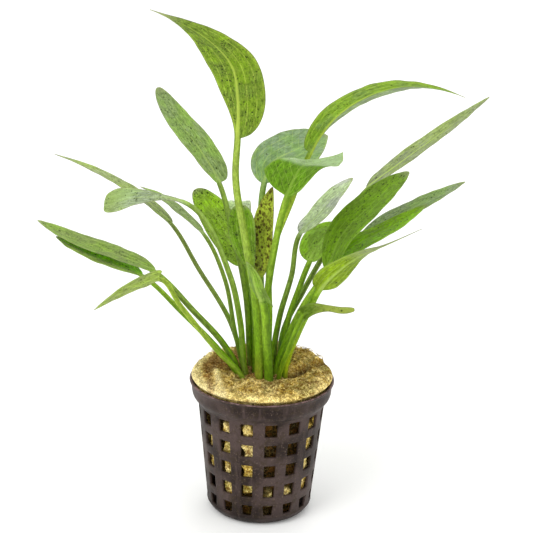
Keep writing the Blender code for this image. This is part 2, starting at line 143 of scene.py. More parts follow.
class Nodes:
    # a short way to write a material's node tree: add and cells give the node itself, put sets or
    # joins a socket, skin gives the finished material, and the others give an output
    def __init__(self, name):
        self.material = bpy.data.materials.new(name)
        self.material.use_nodes = True
        self.tree = self.material.node_tree
        self.shader = self.tree.nodes["Principled BSDF"]
        self.output = self.tree.nodes["Material Output"]

    def add(self, kind, inputs, **settings):
        made = self.tree.nodes.new("ShaderNode" + kind)
        for key, value in settings.items():
            setattr(made, key, value)
        for key, value in inputs.items():
            self.put(made.inputs[key], value)
        return made

    def put(self, socket, value):
        if isinstance(value, bpy.types.NodeSocket):
            self.tree.links.new(value, socket)
        elif isinstance(value, tuple) and socket.type == "RGBA":
            socket.default_value = (*value[:3], 1.0)
        else:
            socket.default_value = value

    def math(self, operation, first, second=0.0):
        return self.add("Math", {0: first, 1: second}, operation=operation).outputs[0]

    def mix(self, share, first, second, blend="MIX"):
        made = self.add("Mix", {}, data_type="RGBA", blend_type=blend, clamp_factor=True)
        self.put(made.inputs[0], share)
        self.put(made.inputs[6], first)
        self.put(made.inputs[7], second)
        return made.outputs[2]

    def ramp(self, value, low, high, toLow=0.0, toHigh=1.0):
        # from toLow to toHigh with soft ends as value goes from low to high
        made = self.add("MapRange", {}, interpolation_type="SMOOTHSTEP")
        for key, setting in zip(range(5), (value, low, high, toLow, toHigh)):
            self.put(made.inputs[key], setting)
        return made.outputs[0]

    def noise(self, place, scale, detail=3.0, roughness=0.55, distortion=0.0):
        inputs = {"Vector": place, "Scale": scale, "Detail": detail}
        inputs |= {"Roughness": roughness, "Distortion": distortion}
        return self.add("TexNoise", inputs).outputs["Fac"]

    def cells(self, place, scale, feature="F1"):
        return self.add("TexVoronoi", {"Vector": place, "Scale": scale}, feature=feature)

    def shaded(self, colour, factor):
        # a colour or a vector times a number
        scaled = self.add("VectorMath", {0: colour, "Scale": factor}, operation="SCALE")
        return scaled.outputs[0]

    def product(self, *numbers):
        total = numbers[0]
        for number in numbers[1:]:
            total = self.math("MULTIPLY", total, number)
        return total

    def stretched(self, place, scale):
        return self.add("VectorMath", {0: place, 1: scale}, operation="MULTIPLY").outputs[0]

    def parts(self, vector):
        return self.add("SeparateXYZ", {0: vector}).outputs

    def attribute(self, name):
        return self.parts(self.add("Attribute", {}, attribute_name=name).outputs["Vector"])

    def objectPlace(self):
        return self.add("TexCoord", {}).outputs["Object"]

    def bump(self, height, strength, distance):
        inputs = {"Height": height, "Strength": strength, "Distance": distance}
        return self.add("Bump", inputs).outputs["Normal"]

    def skin(self, colour, roughness, specular, normal=None):
        # the shader's own inputs set or joined
        inputs = {"Base Color": colour, "Roughness": roughness, "Specular IOR Level": specular}
        if normal is not None:
            inputs["Normal"] = normal
        for key, value in inputs.items():
            self.put(self.shader.inputs[key], value)
        return self.material


# how every leaf's surface is laid out, in counts, in millimetres or in shares of the blade
leafBuild = {
    "footHeight": 47.0,
    "stalkRows": 34,
    "bladeRows": 84,
    "acrossPlaces": 45,
    "centreCrowding": 0.6,
    "thickness": 0.4,
    "tipThinning": 0.6,
    "ribTip": 0.1,
    "opening": 0.12,
    "barbReach": 0.45,
    "stalkTopShare": 0.72,
    "ribTopShare": 0.2,
    "stalkFlattening": 0.3,
    "stalkTaper": 1.2,
    "veins": (0.34, 0.68),
    "veinWidth": 0.03,
    "veinHeight": 0.05,
    "waves": 3.0,
    "waveHeight": 0.12,
    "pucker": 0.07,
    "puckerSize": 3.2,
}

# the patterns in the leaves' colour. Clouds, spots, specks and patches are scales per metre of the
# place. Mottle, grain, net and rays are per millimetre of the leaf, the first three drawn out along
# it. layerGap and faceGap set the patterns of two leaves and of a leaf's two faces apart
leafPattern = {
    "clouds": 110.0,
    "drawnOut": 0.4,
    "mottle": 0.9,
    "grain": 2.1,
    "net": 0.85,
    "rays": 0.3,
    "spots": 1000.0,
    "specks": 2200.0,
    "patches": 150.0,
    "layerGap": 5.3,
    "faceGap": 9.0,
    "glow": (1.15, 1.2, 0.6),
}

# the finishes that leaves share: plain is whole, and each other one has its material slot and what
# it changes in plain. Colours: the upper face, the lower face, a painted sheen that greys them in
# clouds, the veins, the margin, the spots, the tip, and the stalk's middle, edges, lower half and
# foot. The shares say how strongly each shows, blotches how uneven the colour is, and the left-half
# share how far painted light covers the left half. spotSize is a factor, and marginWidth is in
# millimetres
leafFinishes = {
    "plain": {
        "face": (0.17, 0.34, 0.015), "back": (0.21, 0.37, 0.03),
        # painted sheen: a pale grey that stands in for glossy reflection, laid on in clouds
        "paintedLight": (0.4, 0.47, 0.36), "paintedLightShare": 0.15,
        "vein": (0.48, 0.64, 0.14), "veinShow": 0.4, "netShow": 0.6, "rays": 0.0, "dashes": 0.35,
        "blotches": 0.75, "paintedLightLeft": 0.0,
        "margin": (0.16, 0.15, 0.09), "marginShow": 0.6, "marginWidth": 0.35, "hem": 0.3,
        "spot": (0.03, 0.05, 0.004), "spots": 0.3, "spotSize": 1.0, "spotReach": 1.0, "specks": 0.4,
        "spotsInMiddle": 0.0,
        "tip": (0.3, 0.32, 0.17), "tipStart": 0.9, "tipFull": 1.0, "tipShow": 0.7,
        "stalk": (0.36, 0.54, 0.05), "stalkEdge": (0.15, 0.29, 0.01), "stalkLow": (0.27, 0.5, 0.012),
        "stalkFoot": (0.36, 0.38, 0.035),
        "roughness": 0.45, "specular": 0.14, "glow": 0.25,
    },
    "yellow": {
        "slot": "leaf_yellow_green", "face": (0.22, 0.36, 0.015), "back": (0.23, 0.36, 0.012),
        "paintedLightShare": 0.12, "vein": (0.55, 0.68, 0.1), "veinShow": 0.7, "dashes": 0.9, "spots": 0.45,
        "tip": (0.45, 0.43, 0.36), "tipStart": 0.8, "stalk": (0.42, 0.57, 0.05),
        "stalkEdge": (0.2, 0.32, 0.015),
    },
    "greyGreen": {
        "slot": "leaf_grey_green", "face": (0.19, 0.33, 0.05), "back": (0.22, 0.33, 0.07),
        "paintedLight": (0.4, 0.46, 0.34), "paintedLightShare": 0.35, "margin": (0.2, 0.17, 0.14), "marginShow": 0.85,
        "spots": 0.7, "spotSize": 1.05, "spotsInMiddle": 0.85, "stalk": (0.31, 0.46, 0.07),
        "stalkEdge": (0.15, 0.23, 0.03),
    },
    "blueGreen": {
        "slot": "leaf_blue_green", "face": (0.17, 0.32, 0.06), "back": (0.2, 0.34, 0.12),
        "paintedLight": (0.42, 0.52, 0.38), "paintedLightShare": 0.45, "rays": 0.3, "marginShow": 0.6, "spots": 0.2,
        "stalk": (0.28, 0.42, 0.1),
    },
    "pale": {
        "slot": "leaf_pale_green", "face": (0.3, 0.44, 0.14), "back": (0.34, 0.46, 0.18),
        "paintedLight": (0.58, 0.62, 0.5), "paintedLightShare": 0.45, "netShow": 0.7, "margin": (0.24, 0.19, 0.15),
        "marginShow": 0.8, "spots": 0.3, "stalk": (0.36, 0.52, 0.1), "stalkEdge": (0.17, 0.26, 0.03),
    },
    "deep": {
        "slot": "leaf_deep_green", "face": (0.11, 0.27, 0.008), "back": (0.17, 0.3, 0.02),
        "paintedLightShare": 0.1, "vein": (0.34, 0.52, 0.08), "rays": 0.45, "margin": (0.28, 0.36, 0.09),
        "marginShow": 0.5, "spots": 0.35,
    },
    "bright": {
        "slot": "leaf_bright_green", "face": (0.17, 0.35, 0.006), "back": (0.21, 0.38, 0.012),
        "paintedLightShare": 0.08, "spots": 0.6, "stalk": (0.3, 0.5, 0.03), "stalkEdge": (0.13, 0.25, 0.008),
    },
    "light": {
        "slot": "leaf_light_green", "face": (0.31, 0.43, 0.06), "back": (0.34, 0.46, 0.08),
        "paintedLight": (0.55, 0.58, 0.42), "paintedLightShare": 0.35, "margin": (0.2, 0.2, 0.08), "spots": 0.25,
        "stalk": (0.5, 0.63, 0.08), "stalkEdge": (0.22, 0.33, 0.03),
    },
    "olive": {
        "slot": "leaf_olive_green", "face": (0.27, 0.36, 0.07), "back": (0.3, 0.38, 0.13),
        "paintedLight": (0.5, 0.52, 0.42), "paintedLightShare": 0.4, "veinShow": 0.65, "marginShow": 0.8, "spots": 0.3,
        "stalk": (0.34, 0.43, 0.12), "stalkEdge": (0.15, 0.21, 0.04),
    },
    "brown": {
        "slot": "leaf_brown_green", "face": (0.5, 0.55, 0.05), "back": (0.5, 0.55, 0.05),
        "paintedLightShare": 0.0, "vein": (0.5, 0.55, 0.1), "veinShow": 0.2, "netShow": 0.2, "dashes": 0.9,
        "blotches": 0.5, "margin": (0.12, 0.07, 0.02), "spot": (0.06, 0.03, 0.002), "spots": 4.0,
        "spotSize": 1.3, "spotReach": 1.4, "specks": 3.5, "tip": (0.14, 0.12, 0.02),
    },
}

# what a leaf's row leaves unsaid: no turn, a low fold, no barbs, no flare and its finish's own look
leafUsual = {"turn": (0, 0), "fold": 8, "barbs": (0.0, 0.0), "flare": 0.0, "look": {}}

# each leaf: its finish, its foot, the stalk's widths at the foot and at the blade, its midrib along
# the stalk and along the blade, the width of its halves, or of the left and the right one, with how
# pointed the base and the tip of each are, and its tint, a factor on its colours that for a few
# leaves in shade also brightens them as painted light. For some the turn about the midrib at base
# and tip and the fold's rise in degrees, the barbs at its base, a flared tip, or its own look
leaves = {
    "topTallLeaf": {
        "node": "leaf_top_tall", "finish": "yellow", "foot": (-1.0, -5.6), "stalkWidths": (3.9, 2.2),
        "stalk": [(-1, -6, 54), (-3, -11, 84), (-7, -14, 107), (-10.5, -18, 130)],
        "blade": [
            (-10, -20, 143), (-10, -25, 157), (-12, -31, 169), (-19, -37, 178),
            (-28, -41, 184), (-37, -43, 188),
        ],
        "left": (8, 0.5, 1.3), "right": (8, 1.9, 2), "turn": (-45, -20), "fold": 12,
        "tintAndPaintedLight": (0.88, 0.95, 0.6),
        "look": {
            "veinShow": 0.55, "dashes": 0.85, "blotches": 0.8, "stalk": (0.37, 0.5, 0.08),
            "stalkLow": (0.22, 0.42, 0.015),
        },
    },
    "upperLeftLeaf": {
        "node": "leaf_upper_left", "finish": "greyGreen", "foot": (-2.8, 4.2), "stalkWidths": (3.2, 2.0),
        "stalk": [(-4, 4, 54), (-6, 3, 78), (-13, 10, 107)],
        "blade": [(-17, 15, 118), (-24, 20, 128), (-33.5, 26, 139), (-39.5, 33, 148)],
        "left": (6.3, 0.6, 0.45), "right": (7, 0.35, 0.6), "tintAndPaintedLight": (1.15, 1.15, 1.0),
        "look": {"blotches": 0.7, "spots": 0.95, "specks": 1.3},
    },
    "farLeftLeaf": {
        "node": "leaf_far_left", "finish": "olive", "foot": (-5.6, 3.4), "stalkWidths": (2.8, 1.7),
        "stalk": [(-7, 4, 54), (-11.5, 6, 68), (-24, 12, 87)],
        "blade": [(-34, 16, 102), (-45, 19, 110.5), (-60, 22, 118.5), (-77, 26, 124)],
        "halves": (3.4, 0.4, 0.9), "tintAndPaintedLight": (1.16, 1.18, 1.16),
    },
    "spoonLeftLeaf": {
        "node": "leaf_spoon_left", "finish": "pale", "foot": (-4.4, -2.8), "stalkWidths": (3.6, 1.8),
        "stalk": [(-6, -3, 54), (-8, -3, 72), (-12, -2, 89)],
        "blade": [(-29, 3, 114), (-41, 4, 115), (-49.5, 5, 113.5), (-57, 6, 111)],
        "halves": (6.2, 2.1, 0.4), "turn": (25, 25), "tintAndPaintedLight": (1.03, 1.01, 1.2),
        "look": {
            "netShow": 0.4, "spots": 0.5, "specks": 0.3, "tip": (0.3, 0.42, 0.07), "tipStart": 0.55,
            "tipFull": 0.95, "tipShow": 0.6,
        },
    },
    "thinLeftLeaf": {
        "node": "leaf_thin_left", "finish": "greyGreen", "foot": (-5.4, 0.4), "stalkWidths": (2.6, 1.6),
        "stalk": [(-7, 1, 54), (-10, 1, 67), (-14, 3, 86)],
        "blade": [(-22, 8, 101), (-30, 11, 107.5), (-39, 13, 113.5), (-45, 14, 116)],
        "halves": (2.75, 0.7, 0.8), "tintAndPaintedLight": (1.4, 1.3, 1.4),
    },
    "bigLeftLeaf": {
        "node": "leaf_big_left", "finish": "greyGreen", "foot": (-8.4, -0.4), "stalkWidths": (3.3, 2.2),
        "stalk": [(-9, -1, 54), (-13, -2, 62), (-25, 0, 75)],
        "blade": [(-39, 3, 88), (-53, 7, 92.5), (-67, 11, 96), (-82, 16, 102)],
        "halves": (5.75, 0.6, 0.7), "fold": 10, "tintAndPaintedLight": (1.14, 1.11, 0.68),
    },
    "underLeftLeaf": {
        "node": "leaf_under_left", "finish": "deep", "foot": (-7.8, -3.6), "stalkWidths": (3.2, 1.8),
        "stalk": [(-9, -4, 53), (-15, -6, 62), (-29, -3, 75.5)],
        "blade": [(-43.5, 3, 86.5), (-55, 6, 90), (-65.5, 9, 93.5), (-75, 13, 97)],
        # painted light: the tint brightens this leaf against the shade it lies in
        "halves": (6, 0.7, 0.7), "fold": 10, "tintAndPaintedLight": (2.9, 2.5, 0.9),
        # painted light: the pale lit strip along the left half
        "look": {"paintedLight": (0.42, 0.49, 0.17), "paintedLightShare": 0.02, "rays": 0.0, "paintedLightLeft": 0.75},
    },
    "droopLeftLeaf": {
        "node": "leaf_droop_left", "finish": "light", "foot": (-5.4, -6.2), "stalkWidths": (2.9, 2.0),
        "stalk": [(-7, -7, 53), (-15, -10, 63), (-28.5, -14, 81.5)],
        "blade": [(-36, -15, 91.5), (-41, -16, 90), (-50, -18, 86), (-58, -19, 81)],
        "left": (5, 0.35, 0.8), "right": (5, 0.15, 0.8), "fold": 10, "barbs": (0, 3),
        "tintAndPaintedLight": (0.98, 1.0, 0.73),
    },
    "broadLeftLeaf": {
        "node": "leaf_broad_left", "finish": "bright", "foot": (-3.0, 7.6), "stalkWidths": (3.0, 2.2),
        "stalk": [(-4, 8, 54), (-6, 10, 74)],
        "blade": [(-8, 13, 88), (-13.5, 17, 97), (-20, 21, 106), (-26, 25, 112.5)],
        "halves": (6, 0.5, 0.5), "turn": (30, 30), "tintAndPaintedLight": (1.72, 1.47, 1.3),
        "look": {"blotches": 0.75, "spots": 0.8, "specks": 0.9},
    },
    "smallSpottedLeaf": {
        "node": "leaf_small_spotted", "finish": "bright", "foot": (-2.3, 0.6), "stalkWidths": (3.2, 2.4),
        "stalk": [(-2.3, 0.6, 54), (-3, 1, 75)],
        "blade": [(-5, 2, 90), (-8, 3, 102), (-9, 5, 113)],
        "halves": (4.5, 1, 0.45), "turn": (60, 60), "tintAndPaintedLight": (0.82, 0.88, 0.2),
        "look": {"blotches": 0.6, "spots": 0.9, "specks": 1.0},
    },
    "brownSpottedLeaf": {
        "node": "leaf_brown_spotted", "finish": "brown", "foot": (0.7, 3.1), "stalkWidths": (3.2, 2.6),
        "stalk": [(0.3, 3.4, 54), (-1, 5, 70)],
        "blade": [(-2, 6.5, 86), (-1.5, 7, 96), (-0.5, 9, 106), (2, 11, 118)],
        "halves": (4.6, 0.6, 0.75), "tintAndPaintedLight": (0.92, 1.03, 0.95),
    },
    "shortFrontLeaf": {
        "node": "leaf_short_front", "finish": "bright", "foot": (2.6, -8.6), "stalkWidths": (3.9, 3.0),
        "stalk": [(2.5, -9, 54), (1.5, -13, 68)],
        "blade": [(-0.5, -15.5, 85), (-2.5, -17, 90), (-4, -18, 95.5), (-6, -21, 100.5)],
        "left": (2.6, 0.25, 0.6), "right": (2.6, 0.3, 0.6), "barbs": (6.2, 3), "tintAndPaintedLight": (1.03, 1.04, 1.5),
        "look": {"spots": 0.1, "stalkEdge": (0.1, 0.2, 0.008), "stalkLow": (0.16, 0.32, 0.01)},
    },
    "roundBackLeaf": {
        "node": "leaf_round_back", "finish": "blueGreen", "foot": (2.6, 6.6), "stalkWidths": (3.4, 2.2),
        "stalk": [(1, 8, 54), (-1, 10, 76), (-2, 13, 101)],
        "blade": [(-1, 16, 118), (1, 21, 123), (10.5, 30, 127), (22, 40, 130)],
        "left": (10, 0.7, 0.55), "right": (11, 0.75, 1), "turn": (-15, -15), "tintAndPaintedLight": (1.07, 1.03, 1.25),
        "look": {
            "paintedLightShare": 0.32, "netShow": 0.15, "rays": 0.4, "blotches": 0.55, "spots": 0.06,
            "specks": 0.08,
        },
    },
    "heartCentreLeaf": {
        "node": "leaf_heart_centre", "finish": "deep", "foot": (1.4, -2.4), "stalkWidths": (3.2, 2.4),
        "stalk": [(2, -3, 54), (1, -5, 81), (3, -7, 100)],
        "blade": [(7, -8, 120), (9, -8, 125.5), (11, -6, 129), (17, 3, 129), (26.5, 14, 130.5)],
        "left": (11.5, 0.45, 2.2), "right": (9.6, 1.1, 1.1), "tintAndPaintedLight": (1.14, 1.08, 0.5),
        "look": {
            "paintedLightShare": 0.03, "netShow": 0.3, "rays": 0.8, "spots": 0.12, "specks": 0.1,
            # painted reflection: the pale colour from a third of the way along is the gloss where the
            # blade levels off
            "tip": (0.5, 0.66, 0.36), "tipStart": 0.32, "tipFull": 0.44, "tipShow": 0.85,
        },
    },
    "archRightLeaf": {
        "node": "leaf_arch_right", "finish": "yellow", "foot": (2.4, 0.8), "stalkWidths": (3.2, 2.0),
        "stalk": [(2, 1, 54), (2, 2, 71), (2, 5, 94), (9, 10, 114)],
        "blade": [(15, 12, 131), (22, 6, 144), (31, -1, 153), (43, -8, 159), (64, -18, 158)],
        "left": (8.5, 1.9, 1.1), "right": (5.8, 0.42, 0.9), "turn": (20, 27), "fold": 10,
        "tintAndPaintedLight": (1.2, 1.27, 1.8),
        "look": {
            # painted sheen: a grey reflection over the left half
            "netShow": 0.2, "dashes": 0.7, "blotches": 0.6, "paintedLightLeft": 0.75, "spots": 0.1,
            "specks": 0.12, "tipStart": 0.92,
        },
    },
    "longRightLeaf": {
        "node": "leaf_long_right", "finish": "olive", "foot": (5.6, 7.4), "stalkWidths": (3.0, 2.0),
        "stalk": [(6, 8, 54), (7, 11, 63), (14, 17, 77), (25, 26, 95)],
        "blade": [(36.5, 28, 113.5), (48.5, 32, 122.5), (62.5, 36, 132.5), (80.5, 41, 146)],
        "left": (5.5, 0.6, 0.8), "right": (5.2, 0.6, 0.8), "tintAndPaintedLight": (0.97, 0.97, 1.12),
        "look": {"veinShow": 0.9, "netShow": 0.35, "spots": 0.15, "specks": 0.15},
    },
    "broadRightLeaf": {
        "node": "leaf_broad_right", "finish": "deep", "foot": (4.8, -2.0), "stalkWidths": (3.4, 2.4),
        "stalk": [(5, -2, 54), (8, -1, 64), (14, 2, 77)],
        "blade": [(22, 4, 90), (27, 8, 101.5), (37, 13, 111.5), (50.5, 20, 122.5)],
        "halves": (8.5, 0.6, 0.6), "tintAndPaintedLight": (1.58, 1.3, 0.58),
        "look": {"paintedLightShare": 0.04, "rays": 0.15, "spots": 0.6, "specks": 0.3},
    },
    "darkRightLeaf": {
        "node": "leaf_dark_right", "finish": "blueGreen", "foot": (9.3, 0.2), "stalkWidths": (2.9, 1.7),
        "stalk": [(9, 2, 54), (11, 7, 65), (19, 14, 79)],
        "blade": [(31, 20, 92), (43, 26, 101), (56, 31, 107), (73, 36, 115)],
        "left": (5.2, 0.6, 0.7), "right": (6.5, 0.6, 0.7), "tintAndPaintedLight": (1.26, 1.13, 1.26),
    },
    "lowRightLeaf": {
        "node": "leaf_low_right", "finish": "bright", "slot": "leaf_deep_green", "foot": (6.8, 1.0),
        "stalkWidths": (3.2, 2.4),
        "stalk": [(7, 1, 54), (10, 2, 64), (16, 6, 76)],
        "blade": [(25, 10, 91), (34, 14, 97), (45.5, 18, 102.5), (58, 22, 110)],
        "left": (5.5, 0.5, 0.7), "right": (6.8, 0.5, 0.7), "tintAndPaintedLight": (1.8, 1.68, 0.03),
        "look": {"paintedLightShare": 0.0, "spots": 0.25},
    },
    "edgeRightLeaf": {
        "node": "leaf_edge_right", "finish": "bright", "foot": (8.2, -2.8), "stalkWidths": (3.0, 2.4),
        "stalk": [(8, -4, 54), (12, -8, 70), (16, -11, 81)],
        "blade": [(19, -14, 89), (25, -17, 97), (31, -20, 103), (40, -25, 109), (51, -32, 117)],
        "left": (5.4, 0.5, 2.5), "right": (4.1, 0.5, 2.6), "turn": (48, 0), "tintAndPaintedLight": (1.3, 1.1, 0.9),
        "look": {
            "paintedLightShare": 0.0, "netShow": 0.35, "spots": 0.12, "specks": 0.15, "tip": (0.32, 0.35, 0.22),
            "tipStart": 0.32, "tipFull": 0.55, "tipShow": 0.9, "stalkLow": (0.4, 0.52, 0.012),
        },
    },
    "lowestRightLeaf": {
        "node": "leaf_lowest_right", "finish": "bright", "foot": (5.4, -6.2), "stalkWidths": (2.8, 1.9),
        "stalk": [(6, -7, 54), (9, -10, 65), (12, -13, 75)],
        "blade": [(14, -16, 80), (17, -18, 83), (22, -19, 84), (27, -19.5, 83.5), (31, -20, 84)],
        "left": (2.8, 0.1, 2.6), "right": (1.9, 0.2, 1.4), "turn": (-40, -40), "barbs": (3.4, 1),
        "flare": 1.8, "tintAndPaintedLight": (0.8, 0.72, 0.84),
        "look": {
            "face": (0.13, 0.28, 0.006), "back": (0.13, 0.28, 0.006), "paintedLightShare": 0.0, "veinShow": 0.05,
            "hem": 0.1, "spots": 0.25, "tip": (0.36, 0.42, 0.07), "tipStart": 0.15, "tipFull": 0.6,
            "tipShow": 0.9, "stalkLow": (0.36, 0.52, 0.012),
        },
    },
    "paleRightLeaf": {
        "node": "leaf_pale_right", "finish": "pale", "foot": (5.2, 4.0), "stalkWidths": (3.0, 1.9),
        "stalk": [(4, 5, 54), (5.5, 8.3, 69), (9.6, 11.2, 85)],
        "blade": [(12.5, 14, 100.5), (18.5, 18, 105.5), (24, 23, 111.5), (31, 28, 117.5)],
        "halves": (4.5, 0.5, 0.6), "tintAndPaintedLight": (1.73, 1.48, 2.4),
        "look": {"netShow": 0.2, "spots": 0.03, "specks": 0.05},
    },
    "hiddenRightLeaf": {
        "node": "leaf_hidden_right", "finish": "bright", "foot": (7.6, 4.8), "stalkWidths": (3.0, 2.2),
        "stalk": [(7, 5, 56), (8.4, 6.8, 68), (12.2, 9.8, 80)],
        "blade": [(16, 13, 90), (19.5, 17, 95.5), (25, 20, 99), (30, 23, 101)],
        # painted light: the tint brightens this leaf against the shade it lies in
        "left": (8.7, 0.6, 0.5), "right": (6.5, 0.4, 0.5), "tintAndPaintedLight": (2.1, 1.83, 1.8),
        "look": {"paintedLightShare": 0.1, "spots": 0.3, "specks": 0.2},
    },
    "thinBackLeaf": {
        "node": "leaf_thin_back", "finish": "pale", "foot": (0.2, 9.0), "stalkWidths": (2.6, 1.4),
        "stalk": [(-1, 10, 54), (-5, 13, 74)],
        "blade": [(-9, 18, 92), (-10, 27, 105.5), (-10, 38, 104.5), (-10, 50, 99)],
        "halves": (4, 0.6, 0.8), "tintAndPaintedLight": (1.6, 1.5, 1.8),
        "look": {"netShow": 0.2, "spots": 0.03, "specks": 0.05},
    },
}


def smoothCurve(points, places):
    # a curve through the points: in each span a cubic from point to point that leaves and arrives
    # with the slopes taken from the neighbours
    points = np.array(points, float)
    knots = np.concatenate([[0.0], np.cumsum(np.linalg.norm(np.diff(points, axis=0), axis=1))])
    slopes = np.gradient(points, knots, axis=0, edge_order=2)
    i = np.clip(np.searchsorted(knots, places, side="right") - 1, 0, len(knots) - 2)
    span = (knots[i + 1] - knots[i])[:, None]
    share = (places - knots[i])[:, None] / span
    start = points[i] * (1.0 - easeStep(share)) + slopes[i] * span * share * (1.0 - share) ** 2
    return start + points[i + 1] * easeStep(share) - slopes[i + 1] * span * share**2 * (1.0 - share)


def routeLength(points):
    # the sum of the straight distances from point to point
    return float(np.linalg.norm(np.diff(np.array(points, float), axis=0), axis=1).sum())


def midribFrames(leaf):
    # the midrib's places with the directions across the blade and out of its upper face, turned
    # about the midrib by the leaf's turn
    stalk = [(*leaf["foot"], leafBuild["footHeight"]), *leaf["stalk"], leaf["blade"][0]]
    route = stalk + leaf["blade"][1:]
    alongStalk = np.linspace(-1.0, 0.0, leafBuild["stalkRows"], endpoint=False)
    alongBlade = (1.0 - np.cos(np.linspace(0.0, pi, leafBuild["bladeRows"]))) / 2.0
    along = np.concatenate([alongStalk, alongBlade])
    stalkLength = routeLength(stalk)
    bladeLength = routeLength(leaf["blade"])
    places = stalkLength + np.where(along < 0.0, along * stalkLength, along * bladeLength)
    centre = smoothCurve(route, places)
    ahead = smoothCurve(route, places + 0.2) - smoothCurve(route, places - 0.2)
    ahead /= np.linalg.norm(ahead, axis=1)[:, None]
    outward = np.array(leaf["blade"][-1][:2], float) - np.array(leaf["blade"][0][:2], float)
    outward /= np.linalg.norm(outward)
    level = np.array([outward[1], -outward[0], 0.0])
    across = level - ahead * (ahead @ level)[:, None]
    across /= np.linalg.norm(across, axis=1)[:, None]
    upper = np.cross(across, ahead)
    baseTurn, tipTurn = leaf["turn"]
    bladeTurn = baseTurn + (tipTurn - baseTurn) * along
    turn = np.radians(np.where(along < 0.0, baseTurn * (1.0 + along), bladeTurn))
    c = np.cos(turn)[:, None]
    s = np.sin(turn)[:, None]
    return along, places, centre, ahead, across * c + upper * s, upper * c - across * s


def bladeOutline(leaf, along, side):
    # zero at both ends: place^base * (1 - place)^tip, scaled so that its most is the half's width,
    # and a ragged leaf flares again before its tip
    most, base, tip = leaf[side]
    place = np.clip(along, 0.0, 1.0)
    widest = base / (base + tip)
    flare = leaf["flare"] * easeStep((place - 0.5) / 0.4) * (1.0 - place) ** 0.25
    return most * place**base * (1.0 - place) ** tip / (widest**base * (1.0 - widest) ** tip) + flare


def acrossPlaces():
    # places from the left margin to the right and back, crowded at the midrib and the margins, and
    # +1 above or -1 below
    w = np.linspace(-1.0, 1.0, leafBuild["acrossPlaces"])
    t = w - leafBuild["centreCrowding"] * np.sin(2.0 * pi * w) / (2.0 * pi)
    side = np.ones(len(t))
    side[[0, -1]] = 0.0
    return np.concatenate([t, t[-2:0:-1]]), np.concatenate([side, -np.ones(len(t) - 2)])


def leafSurface(leaf):
    # at each place along the midrib, a flat sheet joined with a round rib: the height above the
    # middle is the cube root of (sheet^3 + rib^3), where the rib is a circle on the stalk and a
    # bell on the blade. Fold, wave and pucker then lift the margins, the long veins are sunk above
    # and stand out below, and barbs sweep the base of each half back along the stalk
    along, places, centre, ahead, across, upper = midribFrames(leaf)
    t, side = acrossPlaces()
    size = leafBuild["puckerSize"]
    along, t, side = along[:, None], t[None, :], side[None, :]
    blade = np.clip(along, 0.0, 1.0)
    opened = easeStep(along / leafBuild["opening"])
    footWidth, topWidth = leaf["stalkWidths"]
    foot = np.where(along < 0.0, np.abs(along) ** leafBuild["stalkTaper"], 0.0)
    ribWidth = (topWidth + (footWidth - topWidth) * foot) / 2.0 * (1.0 - blade)
    ribWidth = np.maximum(ribWidth, leafBuild["ribTip"])
    ribDepth = ribWidth * np.where(along < 0.0, 1.0 - leafBuild["stalkFlattening"] * foot, 0.9)
    leftOutline, rightOutline = (bladeOutline(leaf, along, half) for half in ("left", "right"))
    outline = np.where(t < 0.0, leftOutline, rightOutline)
    half = ribWidth + outline
    sideways = half * t
    rounded = np.clip(1.0 - t * t, 0.0, 1.0)
    inRib = np.clip(1.0 - (sideways / ribWidth) ** 2, 0.0, 1.0)
    rib = ribDepth * inRib ** (0.5 + opened)
    stalkShare, bladeShare = leafBuild["stalkTopShare"], leafBuild["ribTopShare"]
    rib = rib * np.where(side > 0.0, stalkShare + (bladeShare - stalkShare) * opened, 1.0)
    thinned = 1.0 - leafBuild["tipThinning"] * blade**4
    sheet = leafBuild["thickness"] / 2.0 * thinned * rounded**0.35 * opened
    height = (sheet**3 + rib**3) ** (1.0 / 3.0) * side
    fade = easeStep(along / 0.08) * (1.0 - blade) ** 0.6 * np.clip(half / 4.0, 0.0, 1.0)
    veins = sum(bell(np.abs(t) - vein, leafBuild["veinWidth"]) for vein in leafBuild["veins"])
    height = height - leafBuild["veinHeight"] * fade * veins * np.where(side < 0.0, 1.0, 0.6)
    lift = (np.sqrt(sideways**2 + 0.2) - 0.45).clip(0.0) * tan(radians(leaf["fold"]))
    phase = 0.25 * np.sign(t) + 0.26 * leaf["left"][0]
    wave = np.sin(2.0 * pi * (leafBuild["waves"] * blade + phase))
    wave = wave * np.abs(t) ** 1.5 * easeStep(along / 0.15) * (1.0 - blade) ** 0.5
    lift = lift + leafBuild["waveHeight"] * wave
    pucker = softNoise(places[:, None] * 0.6, sideways, centre[:, None, 2] * 0.1, 1.0 / size, 17)
    lift = lift + leafBuild["pucker"] * pucker * np.clip(half / 3.0, 0.0, 1.2) * np.abs(t) ** 0.5
    lift = lift * np.clip(half / np.maximum(ribWidth, 0.5) - 1.0, 0.0, 1.0)
    most = np.where(t < 0.0, leaf["left"][0], leaf["right"][0])
    barb = np.where(t < 0.0, *leaf["barbs"]) * easeStep(1.0 - blade / leafBuild["barbReach"])
    barb = barb * (outline * t / most) ** 2
    points = (
        centre[:, None, :] + across[:, None, :] * sideways[..., None]
        + upper[:, None, :] * (height + lift)[..., None] - ahead[:, None, :] * barb[..., None]
    )
    ones = np.ones_like(sideways)
    uv = np.stack([along * ones, t * ones], axis=-1)
    place = np.stack([places[:, None] * ones, sideways, (0.5 - side * 0.5) * ones], axis=-1)
    edge = np.stack([half * (1.0 - np.abs(t)), half * ones, ribWidth * ones], axis=-1)
    return points, uv, place, edge


